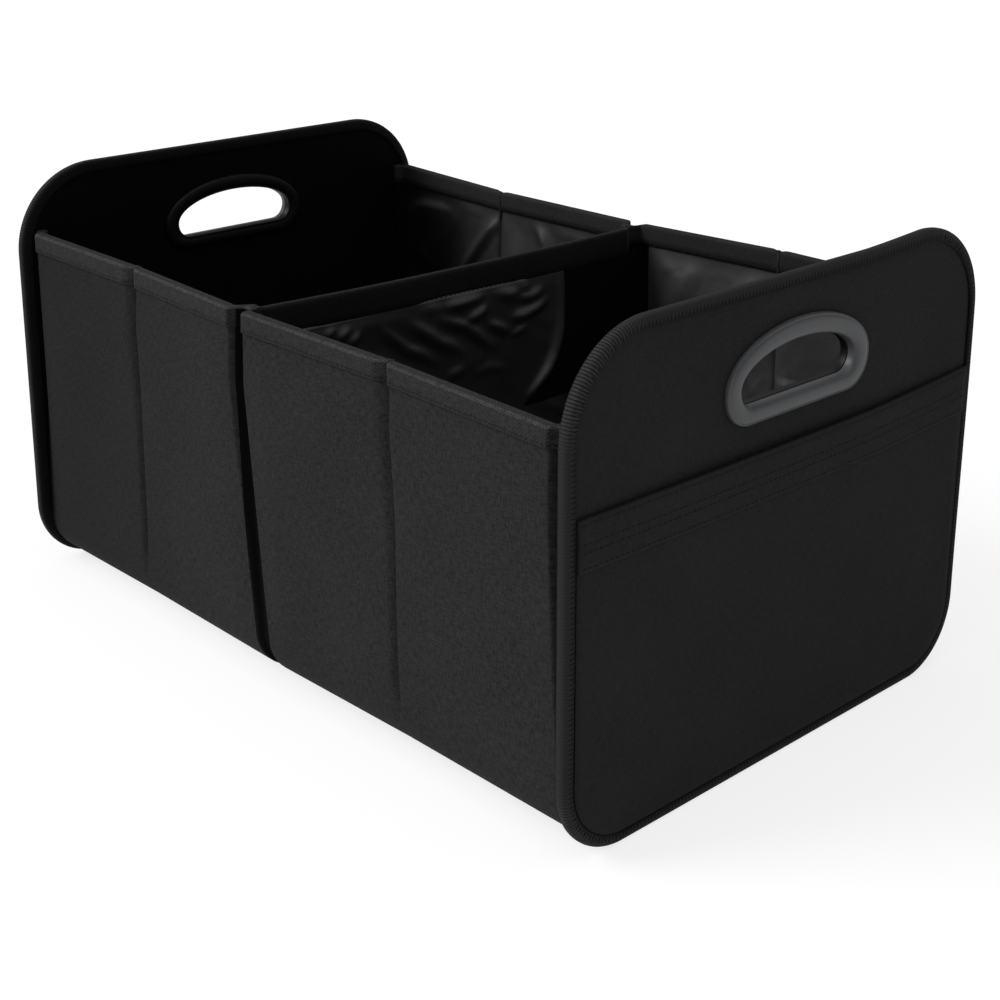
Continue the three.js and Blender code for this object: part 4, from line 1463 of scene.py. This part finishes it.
# %% Floor
deselect()
bpy.ops.mesh.primitive_plane_add(size=14, location=(0, 0, -0.0002))
floor = named("floor")
set_down(floor)
floor_finish = bpy.data.materials.new("pale_floor")
floor_finish.use_nodes = True
tree = floor_finish.node_tree
shader = tree.nodes["Principled BSDF"]
shader.inputs["Roughness"].default_value = 0.9
shader.inputs["Specular IOR Level"].default_value = 0.0
shader.inputs["Emission Color"].default_value = (1, 1, 1, 1)
path = tree.nodes.new("ShaderNodeLightPath")
seen = work(tree, "MAXIMUM", path.outputs["Is Camera Ray"], path.outputs["Is Glossy Ray"])
tone = tree.nodes.new("ShaderNodeMix")
tone.data_type = "RGBA"
tone.inputs["A"].default_value = (0.8, 0.8, 0.8, 1)
tone.inputs["B"].default_value = (0.28, 0.28, 0.28, 1)
tree.links.new(seen, tone.inputs["Factor"])
tree.links.new(tone.outputs["Result"], shader.inputs["Base Color"])
tree.links.new(work(tree, "MULTIPLY", seen, 0.77), shader.inputs["Emission Strength"])
floor.data.materials.append(floor_finish)
print("floor laid")

# %% Light
world = bpy.data.worlds.new("studio")
bpy.context.scene.world = world
world.use_nodes = True
tree = world.node_tree
backdrop = tree.nodes["Background"]
backdrop.inputs["Color"].default_value = (1, 1, 1, 1)
path = tree.nodes.new("ShaderNodeLightPath")
seen = work(tree, "MAXIMUM", path.outputs["Is Camera Ray"], path.outputs["Is Transmission Ray"])
tree.links.new(work(tree, "MULTIPLY_ADD", seen, 0.7, 0.3), backdrop.inputs["Strength"])


def soft_lamp(name, kind, place, aim, strength, **sizes):
    data = bpy.data.lights.new(name, kind)
    data.energy = strength
    for key, value in sizes.items():
        setattr(data, key, value)
    lamp = bpy.data.objects.new(name, data)
    lamp.location = place
    way = Vector(aim) - Vector(place)
    lamp.rotation_euler = way.to_track_quat("-Z", "Y").to_euler()
    bpy.context.collection.objects.link(lamp)


soft_lamp("front_light", "SUN", (-1.0, -1.3, 1.2), (0, 0, 0), 2.1, angle=math.radians(30))
soft_lamp("top_light", "SUN", (0.3, -0.3, 2), (0, 0, 0), 0.8, angle=math.radians(60))
bpy.context.scene.view_settings.view_transform = "Standard"
print("lamps set")
